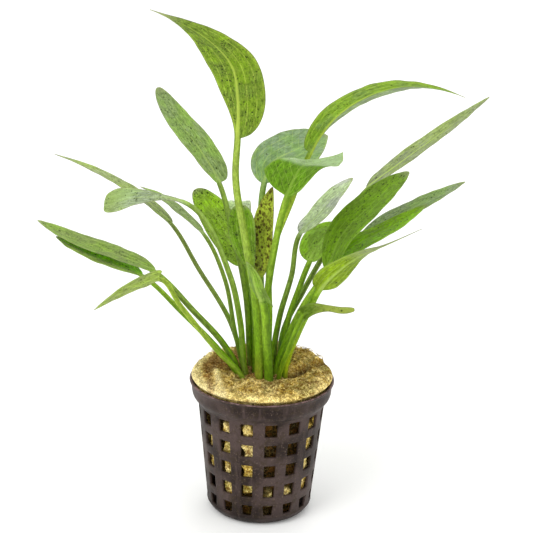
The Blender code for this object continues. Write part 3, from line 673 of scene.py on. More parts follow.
def leafMesh(name, leaf):
    # the leaf's surface closed by a fan at its foot and at its tip, with its UV map and attributes
    points, uv, place, edge = leafSurface(leaf)
    mesh, corners = closedRings(name, points)
    flatUv = np.concatenate([uv.reshape(-1, 2), [[-1.0, 0.0], [1.0, 0.0]]])
    layer = mesh.uv_layers.new(name="leafUv")
    layer.uv.foreach_set("vector", flatUv[corners].astype(np.float32).ravel())
    # leafPlace: millimetres along and across, and 0 above or 1 below. leafEdge: millimetres to the
    # margin, half the width and half the midrib's width there
    addVectors(mesh, "leafPlace", withEnds(place))
    addVectors(mesh, "leafEdge", withEnds(edge))
    return mesh


def leafPlaces(n, name):
    # what a leaf's patterns go by: shares and millimetres along and across it, millimetres to the
    # margin, and noises at three scales
    at = SimpleNamespace(spot=n.objectPlace())
    at.along, at.signedT, _ = n.parts(n.add("UVMap", {}, uv_map="leafUv").outputs[0])
    at.t = n.math("ABSOLUTE", at.signedT)
    at.placeAlong, at.placeAcross, below = n.attribute("leafPlace")
    at.toMargin, at.half, at.ribHalf = n.attribute("leafEdge")
    at.below = n.ramp(below, 0.4, 0.6)
    at.onBlade = n.ramp(at.along, 0.0, 0.06)
    number = leafPattern["layerGap"] * list(leaves).index(name)
    at.layer = n.math("ADD", n.product(at.below, leafPattern["faceGap"]), number)
    at.lengthwise = n.product(at.placeAlong, leafPattern["drawnOut"])
    at.drawn = n.add("CombineXYZ", {0: at.lengthwise, 1: at.placeAcross, 2: at.layer}).outputs[0]
    at.clouds = n.noise(at.spot, leafPattern["clouds"], 3.0)
    at.mottle = n.noise(at.drawn, leafPattern["mottle"], 3.0, 0.6)
    at.grain = n.noise(at.drawn, leafPattern["grain"], 2.0, 0.7)
    return at


def leafGround(n, at, look, tintAndPaintedLight):
    # each face's colour, greyed in clouds by a painted sheen, times the leaf's own tint, which on a few
    # shaded leaves is also painted light, with painted light over its left half, made uneven at three
    # scales, and changed towards the tip, which on the heart leaf is a painted reflection
    blotches = look["blotches"]
    colour = n.mix(at.below, look["face"], look["back"])
    # painted sheen, laid on in clouds
    paintedLightShare = n.product(n.ramp(at.clouds, 0.4, 0.6, 0.3, 1.1), n.ramp(at.mottle, 0.4, 0.6, 0.7, 1.1))
    colour = n.mix(n.product(paintedLightShare, look["paintedLightShare"]), colour, look["paintedLight"])
    # the tint, which on a few shaded leaves is painted light
    colour = n.mix(1.0, colour, tintAndPaintedLight, "MULTIPLY")
    # painted light over the left half
    leftHalf = n.ramp(at.signedT, -0.35, -0.1, 1.0, 0.0)
    colour = n.mix(n.product(leftHalf, look["paintedLightLeft"]), colour, look["paintedLight"])
    uneven = n.product(
        n.ramp(at.clouds, 0.38, 0.62, 1.14, 0.86),
        n.ramp(at.mottle, 0.4, 0.62, 1.0 - 0.2 * blotches, 1.0 + 0.14 * blotches),
        n.ramp(at.grain, 0.4, 0.62, 1.0 - 0.26 * blotches, 1.0 + 0.16 * blotches),
    )
    colour = n.shaded(colour, uneven)
    # towards the tip; on the heart leaf this is a painted reflection
    tipShare = n.ramp(at.along, look["tipStart"], look["tipFull"], 0.0, look["tipShow"])
    return n.mix(tipShare, colour, look["tip"])


def leafNet(n, at, look, colour):
    # the net of small veins: the edges of cells drawn out along the leaf, each with its own depth
    # of colour. Rays: side veins that leave the midrib forwards, one every few millimetres
    cell = n.cells(at.drawn, leafPattern["net"])
    edges = n.cells(at.drawn, leafPattern["net"], "DISTANCE_TO_EDGE").outputs["Distance"]
    net = n.product(n.ramp(edges, 0.0, 0.12, 1.0, 0.0), at.onBlade, look["netShow"])
    low, high = 1.0 - 0.14 * look["blotches"], 1.0 + 0.12 * look["blotches"]
    colour = n.shaded(colour, n.ramp(n.parts(cell.outputs["Color"])[0], 0.0, 1.0, low, high))
    colour = n.mix(n.product(net, 0.35), colour, look["vein"])
    colour = n.shaded(colour, n.ramp(net, 0.0, 1.0, 1.0, 0.8))
    bent = n.product(n.math("ABSOLUTE", at.placeAcross), leafPattern["rays"])
    ray = n.math("ADD", n.product(at.placeAlong, leafPattern["rays"]), n.product(at.clouds, 0.8))
    ray = n.math("FRACT", n.math("SUBTRACT", ray, bent))
    ray = n.ramp(n.math("ABSOLUTE", n.math("SUBTRACT", ray, 0.5)), 0.01, 0.05, 1.0, 0.0)
    return n.mix(n.product(ray, at.onBlade, look["rays"], 0.8), colour, look["vein"]), net


def leafVeins(n, at, look, colour):
    # long veins beside the midrib, with dark dashes along them
    veins = 0.0
    for vein in leafBuild["veins"]:
        away = n.product(n.math("ABSOLUTE", n.math("SUBTRACT", at.t, vein)), at.half)
        veins = n.math("MAXIMUM", n.ramp(away, 0.06, 0.22, 1.0, 0.0), veins)
    veins = n.product(veins, at.onBlade, n.ramp(at.along, 0.5, 0.95, 1.0, 0.2))
    share = n.product(veins, n.ramp(at.mottle, 0.4, 0.55, 0.4, 1.0), look["veinShow"])
    colour = n.mix(share, colour, look["vein"])
    place = n.add("CombineXYZ", {0: at.lengthwise, 1: n.product(at.placeAcross, 2.0), 2: at.below})
    dash = n.ramp(n.noise(place.outputs[0], 1.0, 2.0), 0.58, 0.63)
    dash = n.product(dash, n.ramp(at.t, 0.1, 0.25), n.ramp(at.t, 0.6, 0.95, 1.0, 0.3), at.onBlade)
    dash = n.product(dash, look["dashes"], n.ramp(at.clouds, 0.4, 0.55, 0.35, 0.85))
    return n.mix(dash, colour, look["spot"]), veins


def spotCells(n, place, scale, share, sizes, core):
    # round dots in the cells of a scattered pattern whose own number is under the share: full in
    # the core's share of their size, fading out to their edge. Also gives each cell another number
    cell = n.cells(place, scale)
    own = n.parts(cell.outputs["Color"])
    chosen = n.math("LESS_THAN", own[0], share)
    size = n.ramp(own[1], 0.0, 1.0, *sizes)
    dot = n.ramp(cell.outputs["Distance"], n.product(size, core), size, 1.0, 0.0)
    return n.product(dot, chosen), own[2]


def leafSpots(n, at, look, colour):
    # spots of uneven depth, and specks of half their size between them, more of both in patches or
    # along the middle
    jitter = n.add("TexNoise", {"Vector": at.spot, "Scale": 900.0}).outputs["Color"]
    place = n.add("VectorMath", {0: at.spot, 1: n.shaded(jitter, 0.001)}, operation="ADD").outputs[0]
    patches = n.ramp(n.noise(at.spot, leafPattern["patches"], 2.0), 0.4, 0.6, 0.25, 1.0)
    patches = n.product(patches, n.ramp(at.t, 0.2, 0.6, 1.0, 1.0 - look["spotsInMiddle"]))
    sizes = [look["spotReach"] * size for size in (0.28, 0.52)]
    scale = leafPattern["spots"] / look["spotSize"]
    spots, depth = spotCells(n, place, scale, n.product(patches, look["spots"]), sizes, 0.6)
    spots = n.product(spots, n.ramp(depth, 0.0, 1.0, 0.45, 0.95), n.ramp(at.along, 0.0, 0.1))
    colour = n.mix(spots, colour, look["spot"])
    scale = leafPattern["specks"] / look["spotSize"]
    specks, _ = spotCells(n, place, scale, n.product(patches, look["specks"]), (0.25, 0.55), 0.5)
    return n.mix(n.product(specks, at.onBlade, 0.75), colour, look["spot"])


def leafTrim(n, at, look, colour):
    # the midrib, stronger below, the lighter hem inside the margin, and the margin
    away = n.math("ABSOLUTE", at.placeAcross)
    rib = n.ramp(away, n.product(at.ribHalf, 0.3), n.product(at.ribHalf, 0.85), 1.0, 0.0)
    ribShow = n.ramp(at.below, 0.0, 1.0, look["veinShow"], min(1.0, look["veinShow"] + 0.25))
    colour = n.mix(n.product(rib, ribShow, n.ramp(at.along, 0.0, 1.0, 1.0, 0.5)), colour, look["vein"])
    hem = n.product(n.ramp(at.toMargin, 0.5, 1.1, 1.0, 0.0), at.onBlade, look["hem"])
    colour = n.mix(n.product(hem, n.ramp(at.clouds, 0.4, 0.6, 1.0, 0.3)), colour, look["vein"])
    rim = n.product(n.ramp(at.toMargin, 0.0, look["marginWidth"], 1.0, 0.0), at.onBlade)
    rim = n.product(rim, n.ramp(at.mottle, 0.4, 0.6, 0.5, 1.0), look["marginShow"])
    return n.mix(rim, colour, look["margin"])


def leafStalk(n, at, look):
    # the stalk: darker at its edges and low down, streaked lengthwise, and paler at its foot
    place = {0: n.product(at.placeAlong, 0.12), 1: n.product(at.signedT, 5.0), 2: at.layer}
    streak = n.noise(n.add("CombineXYZ", place).outputs[0], 3.0, 3.0)
    colour = n.mix(n.ramp(at.along, -0.75, -0.3), look["stalkLow"], look["stalk"])
    colour = n.mix(n.ramp(at.along, -0.97, -0.8, 1.0, 0.0), colour, look["stalkFoot"])
    colour = n.mix(n.ramp(at.t, 0.45, 1.0, 0.0, 0.85), colour, look["stalkEdge"])
    colour = n.mix(n.ramp(streak, 0.48, 0.6, 0.0, 0.5), colour, look["stalkEdge"])
    uneven = n.product(n.ramp(at.mottle, 0.4, 0.6, 0.84, 1.14), n.ramp(at.grain, 0.4, 0.6, 0.86, 1.12))
    return n.shaded(colour, uneven)


def leafMaterial(name, leaf):
    # the blade's layers of colour over each other, then the stalk's; a waxy skin that lets some
    # light through
    look = {**leafFinishes["plain"], **leafFinishes[leaf["finish"]], **leaf["look"]}
    n = Nodes(name + "Skin")
    at = leafPlaces(n, name)
    colour, net = leafNet(n, at, look, leafGround(n, at, look, leaf["tintAndPaintedLight"]))
    colour, veins = leafVeins(n, at, look, colour)
    colour = leafTrim(n, at, look, leafSpots(n, at, look, colour))
    colour = n.mix(n.ramp(at.along, -0.05, 0.04, 1.0, 0.0), colour, leafStalk(n, at, look))
    relief = n.math("ADD", n.product(at.mottle, 0.5), n.product(n.math("ADD", net, veins), 0.35))
    normal = n.bump(relief, 0.4, 0.0002)
    roughness = n.ramp(at.mottle, 0.3, 0.7, look["roughness"], look["roughness"] + 0.16)
    through = n.mix(1.0, colour, leafPattern["glow"], "MULTIPLY")
    glow = n.add("BsdfTranslucent", {"Color": through, "Normal": normal})
    both = n.add("MixShader", {0: look["glow"], 1: n.shader.outputs[0], 2: glow.outputs[0]})
    n.put(n.output.inputs["Surface"], both.outputs[0])
    return n.skin(colour, roughness, look["specular"], normal)


def fullRow(leaf):
    # a leaf's row with what it leaves unsaid, and with its finish's slot unless it has its own
    halves = {side: leaf.get("halves") for side in ("left", "right")}
    return {**leafUsual, **halves, "slot": leafFinishes[leaf["finish"]]["slot"], **leaf}


def makeLeaves():
    for name, row in leaves.items():
        leaf = fullRow(row)
        addPiece(name, leafMesh(name, leaf), [leaf["node"]], leafMaterial(name, leaf))
    print("leaves made:", len(leaves))


# the profile is radii with heights, from the mound's middle down, and moundRows of the rows cover the
# mound. It is lifted in lumps, each so many waves a millimetre with their height. The slit and the
# flap run from place to place in plan. Inside the pot the wool presses on the wall at the lobes,
# each an azimuth with its half width in degrees and the heights it spans, and is sunk elsewhere
wool = {
    "columns": 420,
    "rows": 230,
    "moundRows": 56,
    "profile": [
        (0.0, 52.3), (8.0, 52.4), (11.0, 52.8), (15.0, 53.1), (19.0, 53.2), (22.0, 53.1), (24.2, 52.6),
        (25.2, 51.9), (25.5, 51.3), (25.2, 50.8), (24.4, 50.35), (23.9, 49.6), (23.7, 47.5), (23.6, 45.9),
        (21.7, 43.3), (21.2, 38.0), (20.0, 26.0), (18.9, 14.0), (17.7, 5.0), (15.4, 2.2), (8.0, 1.7),
        (0.0, 1.6),
    ],
    "lumps": ((0.11, 0.5), (0.25, 0.35), (0.6, 0.24), (1.4, 0.12)),
    "backRise": 0.03,
    "lobes": (
        (-124.0, 9.0, 8.0, 41.0), (-102.0, 9.0, 10.0, 41.0), (-34.0, 10.0, 7.0, 41.0),
        (-57.0, 9.0, 5.0, 15.0), (-79.0, 8.0, 6.0, 14.0), (-146.0, 9.0, 12.0, 36.0),
        (-170.0, 8.0, 20.0, 41.0), (-12.0, 8.0, 8.0, 32.0), (20.0, 9.0, 16.0, 41.0),
        (52.0, 9.0, 25.0, 40.0), (86.0, 10.0, 6.0, 30.0), (125.0, 9.0, 14.0, 41.0),
        (158.0, 9.0, 6.0, 22.0),
    ),
    "sunkDepth": 2.2,
    "slit": ((7.8, -6.5), (23.0, 9.5)),
    "slitWidths": (1.9, 0.8),
    "slitDrop": 2.0,
    "flap": ((-17.4, 2.0), (-14.0, -19.5)),
    "flapRise": 1.4,
    "pillowRise": 1.2,
    "patchDrop": 0.8,
    "pale": (1.0, 0.81, 0.32),
    "straw": (0.65, 0.445, 0.075),
    # brown of the stain, also used in the painted shade of the slit and the gaps
    "brown": (0.19, 0.09, 0.014),
    "olive": (0.26, 0.22, 0.04),
    "stainAndShadeBrown": (0.14, 0.06, 0.01),
    # painted shade: the near-black of the slit and of the gaps inside the pot
    "shade": (0.032, 0.019, 0.005),
    "russet": (0.34, 0.16, 0.04),
    "cream": (0.97, 0.85, 0.47),
}

# the loose fibres that lie on the mound, in millimetres
fibre = {
    "count": 3000,
    "steps": 6,
    "length": (2.5, 6.5),
    "thickness": (0.08, 0.15),
    "lift": 0.22,
    "sway": 0.5,
    "innermost": 3.0,
    "outermost": 24.2,
    "seed": 11,
}


def segmentDistance(x, y, start, end):
    # distance in plan to a straight line between two places, and how far along it
    dx, dy = end[0] - start[0], end[1] - start[1]
    share = np.clip(((x - start[0]) * dx + (y - start[1]) * dy) / (dx * dx + dy * dy), 0.0, 1.0)
    return np.hypot(x - start[0] - share * dx, y - start[1] - share * dy), share


def slitDepth(x, y):
    # from 0 to 1 across a slit that narrows towards its far end
    away, share = segmentDistance(x, y, *wool["slit"])
    wide, narrow = wool["slitWidths"]
    return bell(away, wide + (narrow - wide) * share)


def woolRise(x, y, z, radius):
    # how far the mound is lifted: lumps, a rise towards the back, a pillow at the back right, a slit
    # in front of it, a raised flap at the left, and a sunk patch at the back left
    lumps = sum(size * softNoise(x, y, z, pace, 30 + k) for k, (pace, size) in enumerate(wool["lumps"]))
    (startX, startY), (endX, endY) = wool["slit"]
    beyond = (y - startY) * (endX - startX) - (x - startX) * (endY - startY)
    pillow = easeStep(beyond / 60.0) * easeStep((x - 2.0) / 8.0) * easeStep((26.5 - radius) / 4.0)
    flapAway, flapShare = segmentDistance(x, y, *wool["flap"])
    flap = bell(flapAway, 1.0) * np.sin(pi * np.clip(flapShare, 0.05, 0.95))
    patch = easeStep((-x - 6.0) / 5.0) * easeStep((y - 2.0) / 6.0) * easeStep((24.0 - radius) / 4.0)
    rise = lumps + wool["backRise"] * y + wool["pillowRise"] * pillow + wool["flapRise"] * flap
    rise = rise - wool["slitDrop"] * slitDepth(x, y) - wool["patchDrop"] * patch
    return rise * easeStep((26.3 - radius) / 3.0)


def woolTones(x, y, radius):
    # painted shade in the slit; where the wool is darker: a stain at the back left, with painted shade
    # beside the flap and round the stalks' feet; and where it is paler: the flap, the left edge and the
    # front rim
    flapAway, flapShare = segmentDistance(x, y, *wool["flap"])
    leftEdge = easeStep((radius - 20.5) / 2.5) * easeStep((-x - 8.0) / 6.0)
    dark = easeStep((-x - 4.0) / 5.0) * easeStep((y + 5.0) / 6.0) * easeStep((22.5 - radius) / 3.0)
    # painted shade along the flap's left side
    dark = dark + 0.9 * bell(flapAway - 2.8, 1.3) * easeStep((-x - 16.0) / 2.0)
    # painted shade round the stalks' feet
    dark = dark + easeStep((9.5 - radius) / 4.0)
    bright = np.maximum(1.2 * bell(flapAway, 0.8 + 1.6 * flapShare), leftEdge)
    bright = np.maximum(bright, 0.6 * easeStep((radius - 21.5) / 2.0) * easeStep((-y - 6.0) / 6.0))
    bright = bright * (1.0 - 0.8 * bell(x - 15.0, 5.0) * easeStep(-y / 8.0))
    return slitDepth(x, y), 0.7 * np.clip(dark, 0.0, 1.0), bright


def woolLobes(angle, height):
    # how firmly the wool presses on the pot's wall, from 0 to 1
    degrees = np.degrees(angle)
    pressed = np.zeros(np.broadcast(angle, height).shape)
    ragged = softNoise(np.cos(angle) * 20.0, np.sin(angle) * 20.0, height, 0.16, 21)
    for azimuth, width, low, high in wool["lobes"]:
        aside = np.abs((degrees - azimuth + 180.0) % 360.0 - 180.0) + 2.2 * ragged
        upright = easeStep((height - low) / 3.0 + 0.6 * ragged)
        upright = upright * easeStep((high - height) / 3.0 + 0.6 * ragged)
        pressed = np.maximum(pressed, easeStep((width - aside) / 3.5) * upright)
    return np.maximum(pressed, easeStep((height - 41.5) / 1.0))


def woolSurface():
    # a profile turned about the axis, its corners rounded by averaging neighbours; the mound above
    # the rim is lifted, and the side inside the pot is sunk between its lobes
    profile = np.array(wool["profile"])
    length = np.concatenate([[0.0], np.cumsum(np.linalg.norm(np.diff(profile, axis=0), axis=1))])
    places = np.linspace(0.0, length[-1], wool["rows"])
    radius = np.interp(places, length, profile[:, 0])
    height = np.interp(places, length, profile[:, 1])
    for _ in range(2):
        radius[1:-1] = (radius[:-2] + 2.0 * radius[1:-1] + radius[2:]) / 4.0
        height[1:-1] = (height[:-2] + 2.0 * height[1:-1] + height[2:]) / 4.0
    angle = np.linspace(-pi, pi, wool["columns"], endpoint=False)
    radius = radius[1:-1, None] * np.ones_like(angle)
    height = height[1:-1, None] * np.ones_like(angle)
    x, y = radius * np.cos(angle), radius * np.sin(angle)
    above = easeStep((height - 50.8) / 2.0)
    rise = woolRise(x, y, height, radius)
    paintedRecessShade, dark, bright = woolTones(x, y, radius)
    pressed = woolLobes(angle, height)
    rough = softNoise(x, y, height, 0.5, 6) * 0.3 + softNoise(x, y, height, 1.1, 7) * 0.15
    inward = (1.0 - pressed) * wool["sunkDepth"] + 0.3 - rough * (1.0 - 0.6 * pressed)
    inward = np.clip(inward, 0.0, 3.0) * easeStep((50.2 - height) / 1.5) * easeStep((height - 2.0) / 3.0)
    x = x * (1.0 - inward / radius)
    y = y * (1.0 - inward / radius)
    inside = 1.0 - easeStep((height - 49.0) / 1.5)
    low = easeStep((9.5 - height) / 3.0)
    # painted shade inside the pot: wherever the wool lies away from the wall, and low down
    paintedRecessShade = paintedRecessShade * (1.0 - inside) + inside * np.maximum(1.0 - pressed, low)
    tones = np.stack([paintedRecessShade, dark * (1.0 - inside), bright * (1.0 - inside)], axis=-1)
    return np.stack([x, y, height + above * rise], axis=-1), tones


def woolPatches(n, spot, dark, bright):
    # patches of straw and paler felt, olive stains, tufts, and grains from pale to brown; over the stain
    # and the painted shade that the dark tone carries the wool turns russet and darkest in its grains,
    # and fibres in the painted shade of the slit are dark all over
    patches = n.noise(spot, 140.0, 4.0, 0.65, 0.5)
    tufts = n.noise(spot, 430.0, 3.0, 0.65, 0.8)
    grain = n.noise(spot, 1000.0, 3.0, 0.7, 0.4)
    paleShare = n.math("ADD", n.ramp(patches, 0.47, 0.56), n.product(bright, 0.9))
    colour = n.mix(paleShare, wool["straw"], wool["pale"])
    stain = n.ramp(n.noise(spot, 95.0, 3.0, 0.6, 0.8), 0.49, 0.57, 0.0, 0.8)
    colour = n.mix(n.product(stain, n.ramp(bright, 0.0, 1.0, 1.0, 0.1)), colour, wool["olive"])
    colour = n.mix(n.ramp(bright, 0.55, 1.0, 0.0, 0.6), colour, wool["cream"])
    pits = n.product(n.ramp(tufts, 0.51, 0.58), n.ramp(bright, 0.0, 1.0, 0.65, 0.2))
    colour = n.mix(pits, colour, wool["brown"])
    specks = n.product(n.ramp(grain, 0.51, 0.57), n.ramp(bright, 0.0, 1.0, 0.7, 0.4))
    colour = n.mix(specks, colour, wool["brown"])
    colour = n.mix(n.product(n.ramp(grain, 0.47, 0.42), 0.6), colour, wool["pale"])
    # russet over the stain and over the painted shade
    colour = n.mix(n.product(dark, 1.1), colour, wool["russet"])
    # the stain and the painted shade, darkest in their grains
    stainAndShade = n.product(dark, n.ramp(grain, 0.44, 0.56, 0.0, 1.1))
    stainAndShade = n.math("MAXIMUM", stainAndShade, n.ramp(dark, 0.72, 0.9, 0.0, 0.9))
    return n.mix(stainAndShade, colour, wool["stainAndShadeBrown"]), tufts, grain


def woolMaterial():
    # the patches, with painted shade in the slit, in the gaps between the wool and the pot's wall, and low
    # in the pot
    n = Nodes("rockWoolFelt")
    spot = n.objectPlace()
    paintedRecessShade, dark, bright = n.attribute("woolTones")
    colour, tufts, grain = woolPatches(n, spot, dark, bright)
    fine = n.noise(spot, 2600.0, 2.0, 0.6)
    colour = n.shaded(colour, n.ramp(fine, 0.42, 0.58, 0.65, 1.25))
    # painted shade, near-black to brown, for the slit and the gaps
    recessShadeColour = n.mix(n.ramp(tufts, 0.48, 0.6), wool["shade"], wool["stainAndShadeBrown"])
    colour = n.mix(n.product(paintedRecessShade, n.ramp(grain, 0.48, 0.6, 1.0, 0.6)), colour, recessShadeColour)
    relief = n.math("SUBTRACT", n.math("ADD", n.product(grain, 0.5), n.product(fine, 0.3)), tufts)
    return n.skin(colour, 0.95, 0.12, n.bump(relief, 0.9, 0.0007))


def makeWool():
    # the wool's surface as one closed mesh, which runs from its top down and so is turned outwards
    points, tones = woolSurface()
    mesh, _ = closedRings("woolPlug", points, reverse=True)
    addVectors(mesh, "woolTones", withEnds(tones))
    addPiece("woolPlug", mesh, ["wool_plug"], woolMaterial())
    print("wool plug made")
    return points, tones


def moundHeight(x, y, points):
    # the mound's height at places in plan, and the row and column of its grid that lie there
    rows = wool["moundRows"]
    radius = np.hypot(points[:rows, :, 0], points[:rows, :, 1]).mean(axis=1)
    row = np.interp(np.hypot(x, y), radius, np.arange(rows))
    angle = (np.arctan2(y, x) + pi) / (2.0 * pi) * wool["columns"]
    low, share = np.floor(row).astype(int), row % 1.0
    column = np.round(angle).astype(int) % wool["columns"]
    height = points[low, column, 2] * (1.0 - share) + points[low + 1, column, 2] * share
    return height, low, column


def fibreSurface(points, tones):
    # each fibre: a three-sided tube carried along a line that lies on the mound, sways sideways and
    # lifts off it in the middle; all fibres are worked out together
    draw = np.random.default_rng(fibre["seed"])
    count, steps = fibre["count"], fibre["steps"]
    radius = np.sqrt(draw.uniform(fibre["innermost"] ** 2, fibre["outermost"] ** 2, count))
    angle = draw.uniform(-pi, pi, count)
    way = draw.uniform(0.0, 2.0 * pi, count)
    length = draw.uniform(*fibre["length"], count)
    thick = draw.uniform(*fibre["thickness"], count) / 2.0
    share = np.linspace(-0.5, 0.5, steps + 1)[None, :]
    bend = draw.normal(0.0, fibre["sway"], (count, 1)) * (1.0 - 4.0 * share**2)
    bend = bend + draw.normal(0.0, fibre["sway"] * 0.5, (count, 1)) * np.sin(4.0 * pi * share)
    forth = length[:, None] * share
    wayX, wayY = np.cos(way)[:, None], np.sin(way)[:, None]
    x = (radius * np.cos(angle))[:, None] + forth * wayX - bend * wayY
    y = (radius * np.sin(angle))[:, None] + forth * wayY + bend * wayX
    reach = np.hypot(x, y)
    keep = np.minimum(1.0, fibre["outermost"] / reach)
    x, y = x * keep, y * keep
    height, row, column = moundHeight(x, y, points)
    height = height + fibre["lift"] * draw.uniform(0.2, 1.0, (count, 1)) * (1.0 - 3.6 * share**2)
    line = np.stack([x, y, height], axis=-1)
    ahead = np.gradient(line, axis=1)
    ahead /= np.linalg.norm(ahead, axis=2, keepdims=True) + 1e-9
    across = np.cross(ahead, [0.0, 0.0, 1.0])
    across /= np.linalg.norm(across, axis=2, keepdims=True) + 1e-9
    upper = np.cross(across, ahead)
    taper = (thick[:, None] * (1.0 - 3.2 * share**2))[:, :, None, None]
    turn = np.radians([90.0, 210.0, 330.0])[None, None, :, None]
    spokes = np.cos(turn) * across[:, :, None, :] + np.sin(turn) * upper[:, :, None, :]
    ring = line[:, :, None, :] + taper * spokes
    own = draw.uniform(0.0, 1.0, (count, 1)) * np.ones_like(x)
    # dark carries the mound's stain and all of its painted shade
    dark, bright = tones[row, column, :2].max(axis=-1), tones[row, column, 2]
    tone = np.stack([own, dark, bright], axis=-1)
    return ring, np.repeat(tone[:, :, None, :], 3, axis=2)


def fibreMaterial():
    # the mound's patches, stains and painted shade, with each fibre's own tone from bleached to brown laid
    # over them
    n = Nodes("woolFibre")
    own, dark, bright = n.attribute("fibreTones")
    spot = n.objectPlace()
    colour, _, _ = woolPatches(n, spot, dark, bright)
    colour = n.mix(n.ramp(own, 0.0, 0.35, 0.6, 0.0), colour, wool["pale"])
    colour = n.mix(n.ramp(own, 0.75, 0.85, 0.0, 0.75), colour, wool["brown"])
    colour = n.shaded(colour, n.ramp(n.noise(spot, 1400.0), 0.3, 0.7, 0.75, 1.15))
    return n.skin(colour, 0.85, 0.15)


def makeFibres(points, tones):
    # all fibres as one mesh, each closed by a triangle at either end
    ring, tone = fibreSurface(points, tones)
    count, rows = ring.shape[:2]
    quads = gridFaces(rows, 3, True)[None] + (np.arange(count) * rows * 3)[:, None, None]
    start = np.arange(count)[:, None] * rows * 3
    ends = np.concatenate([start + [2, 1, 0], start + rows * 3 - 3 + np.arange(3)])
    mesh, _ = makeMesh("woolFibres", ring.reshape(-1, 3), quads.reshape(-1, 4), ends)
    addVectors(mesh, "fibreTones", tone.reshape(-1, 3))
    addPiece("woolFibres", mesh, ["wool_plug"], fibreMaterial())
    print("wool fibres made:", count)


# the outer profile and the foot are radii with heights, the holes are laid out in degrees, and the
# wall goes straight from its foot to the collar. edge, holeShare and wallShare place the rows and
# columns beside a hole's edges, and narrowing is how much the lowest holes narrow downwards
pot = {
    "holesRound": 16,
    "firstHole": 9.875,
    "halfHole": 5.625,
    "wall": 1.0,
    "wallEnds": ((18.9, 3.0), (22.9, 42.5)),
    "profile": [
        (26.0, 50.0), (26.05, 49.6), (25.95, 49.2), (25.55, 48.9), (25.3, 48.6), (25.2, 47.4),
        (25.15, 46.0), (25.0, 44.9), (24.65, 44.0), (23.9, 43.0), (23.2, 42.4), (22.9, 42.0),
    ],
    "holeTops": (41.0, 32.8, 24.6, 16.4, 8.2),
    "holeHeight": 4.8,
    "lowestHoleHeight": 4.0,
    "foot": [
        (19.15, 3.6), (19.1, 3.1), (18.7, 2.4), (17.9, 1.3), (17.1, 0.55), (16.3, 0.12), (15.4, 0.0),
        (12.0, 0.0), (6.0, 0.0),
    ],
    "edge": 0.25,
    "holeShare": 0.86,
    "wallShare": 1.15,
    "narrowing": 0.22,
    "colour": (0.016, 0.0085, 0.0065),
    "worn": (0.074, 0.049, 0.044),
    "dust": (0.14, 0.1, 0.075),
    "soil": (0.035, 0.022, 0.01),
    # painted highlight for the lip
    "paintedLipHighlight": (0.24, 0.15, 0.15),
}


def wallRadius(height):
    # a straight line between the wall's two ends
    (lowRadius, low), (highRadius, high) = pot["wallEnds"]
    return lowRadius + (height - low) / (high - low) * (highRadius - lowRadius)


def potRows():
    # the outer profile from the rim down, with rows of places close to each hole's edges
    rows = [(r, z, -1) for r, z in pot["profile"]]
    for k, top in enumerate(pot["holeTops"]):
        lowest = k == len(pot["holeTops"]) - 1
        bottom = top - (pot["lowestHoleHeight"] if lowest else pot["holeHeight"])
        inHole = (top, top - pot["edge"], (top + bottom) / 2.0, bottom + pot["edge"])
        rows.append((wallRadius(top + pot["edge"]), top + pot["edge"], -1))
        rows += [(wallRadius(z), z, k) for z in inHole]
        rows += [(wallRadius(z), z, -1) for z in (bottom, bottom - pot["edge"])]
    rows += [(r, z, -1) for r, z in pot["foot"]]
    return rows


def potSurface():
    # the profile turned about the axis, with columns close to each hole's sides; faces in the holes
    # are left out, and the wall gets its thickness inwards
    rows = potRows()
    radius = np.array([r for r, _, _ in rows])
    height = np.array([z for _, z, _ in rows])
    half = pot["halfHole"]
    pitch = 360.0 / pot["holesRound"]
    inHole = (-half, -half * pot["holeShare"], 0.0, half * pot["holeShare"])
    between = (half, half * pot["wallShare"], pitch / 2.0, pitch - half * pot["wallShare"])
    steps = np.tile(inHole + between, pot["holesRound"])
    middles = np.repeat(pot["firstHole"] + pitch * np.arange(pot["holesRound"]), 8)
    narrow = 1.0 - pot["narrowing"] * easeStep((pot["holeTops"][-1] - height) / pot["lowestHoleHeight"])
    steps = np.where(np.abs(steps) < pitch / 2.0, steps * narrow[:, None], steps)
    angles = np.radians(middles + steps)
    upright = height[:, None] * np.ones_like(angles)
    x, y = radius[:, None] * np.cos(angles), radius[:, None] * np.sin(angles)
    points = np.stack([x, y, upright], axis=-1)
    openRow = np.array([k for _, _, k in rows])[:-1] >= 0
    openColumn = np.tile(np.arange(8) < 4, pot["holesRound"])
    return points, ~(openRow[:, None] & openColumn[None, :])


def potMaterial():
    # near-black plastic, worn greyer in clouds and upright streaks, with specks of dust, darker at
    # its foot, and a painted highlight along the lip in places
    n = Nodes("potPlastic")
    spot = n.objectPlace()
    height = n.parts(spot)[2]
    cloud = n.noise(spot, 55.0, 4.0)
    streak = n.noise(n.stretched(spot, (1.0, 1.0, 0.06)), 420.0, 3.0, 0.6)
    scuffs = n.noise(spot, 500.0, 4.0, 0.7, 0.6)
    dust = n.noise(spot, 1500.0, 4.0, 0.7)
    colour = n.mix(n.ramp(cloud, 0.41, 0.59, 0.0, 0.8), pot["colour"], pot["worn"])
    colour = n.mix(n.ramp(streak, 0.52, 0.7, 0.0, 0.55), colour, pot["worn"])
    colour = n.mix(n.ramp(scuffs, 0.52, 0.6, 0.0, 0.6), colour, pot["soil"])
    colour = n.mix(n.ramp(dust, 0.56, 0.66, 0.0, 0.6), colour, pot["dust"])
    colour = n.shaded(colour, n.ramp(height, 0.0, 0.012, 0.6, 1.0))
    # painted highlight along the lip
    paintedLipHighlight = n.product(n.ramp(height, 0.0494, 0.04985), n.ramp(scuffs, 0.45, 0.6, 0.1, 0.8))
    colour = n.mix(paintedLipHighlight, colour, pot["paintedLipHighlight"])
    relief = n.math("ADD", n.product(streak, 0.6), n.product(dust, 0.3))
    return n.skin(colour, n.ramp(dust, 0.3, 0.7, 0.4, 0.56), 0.16, n.bump(relief, 0.35, 0.0002))


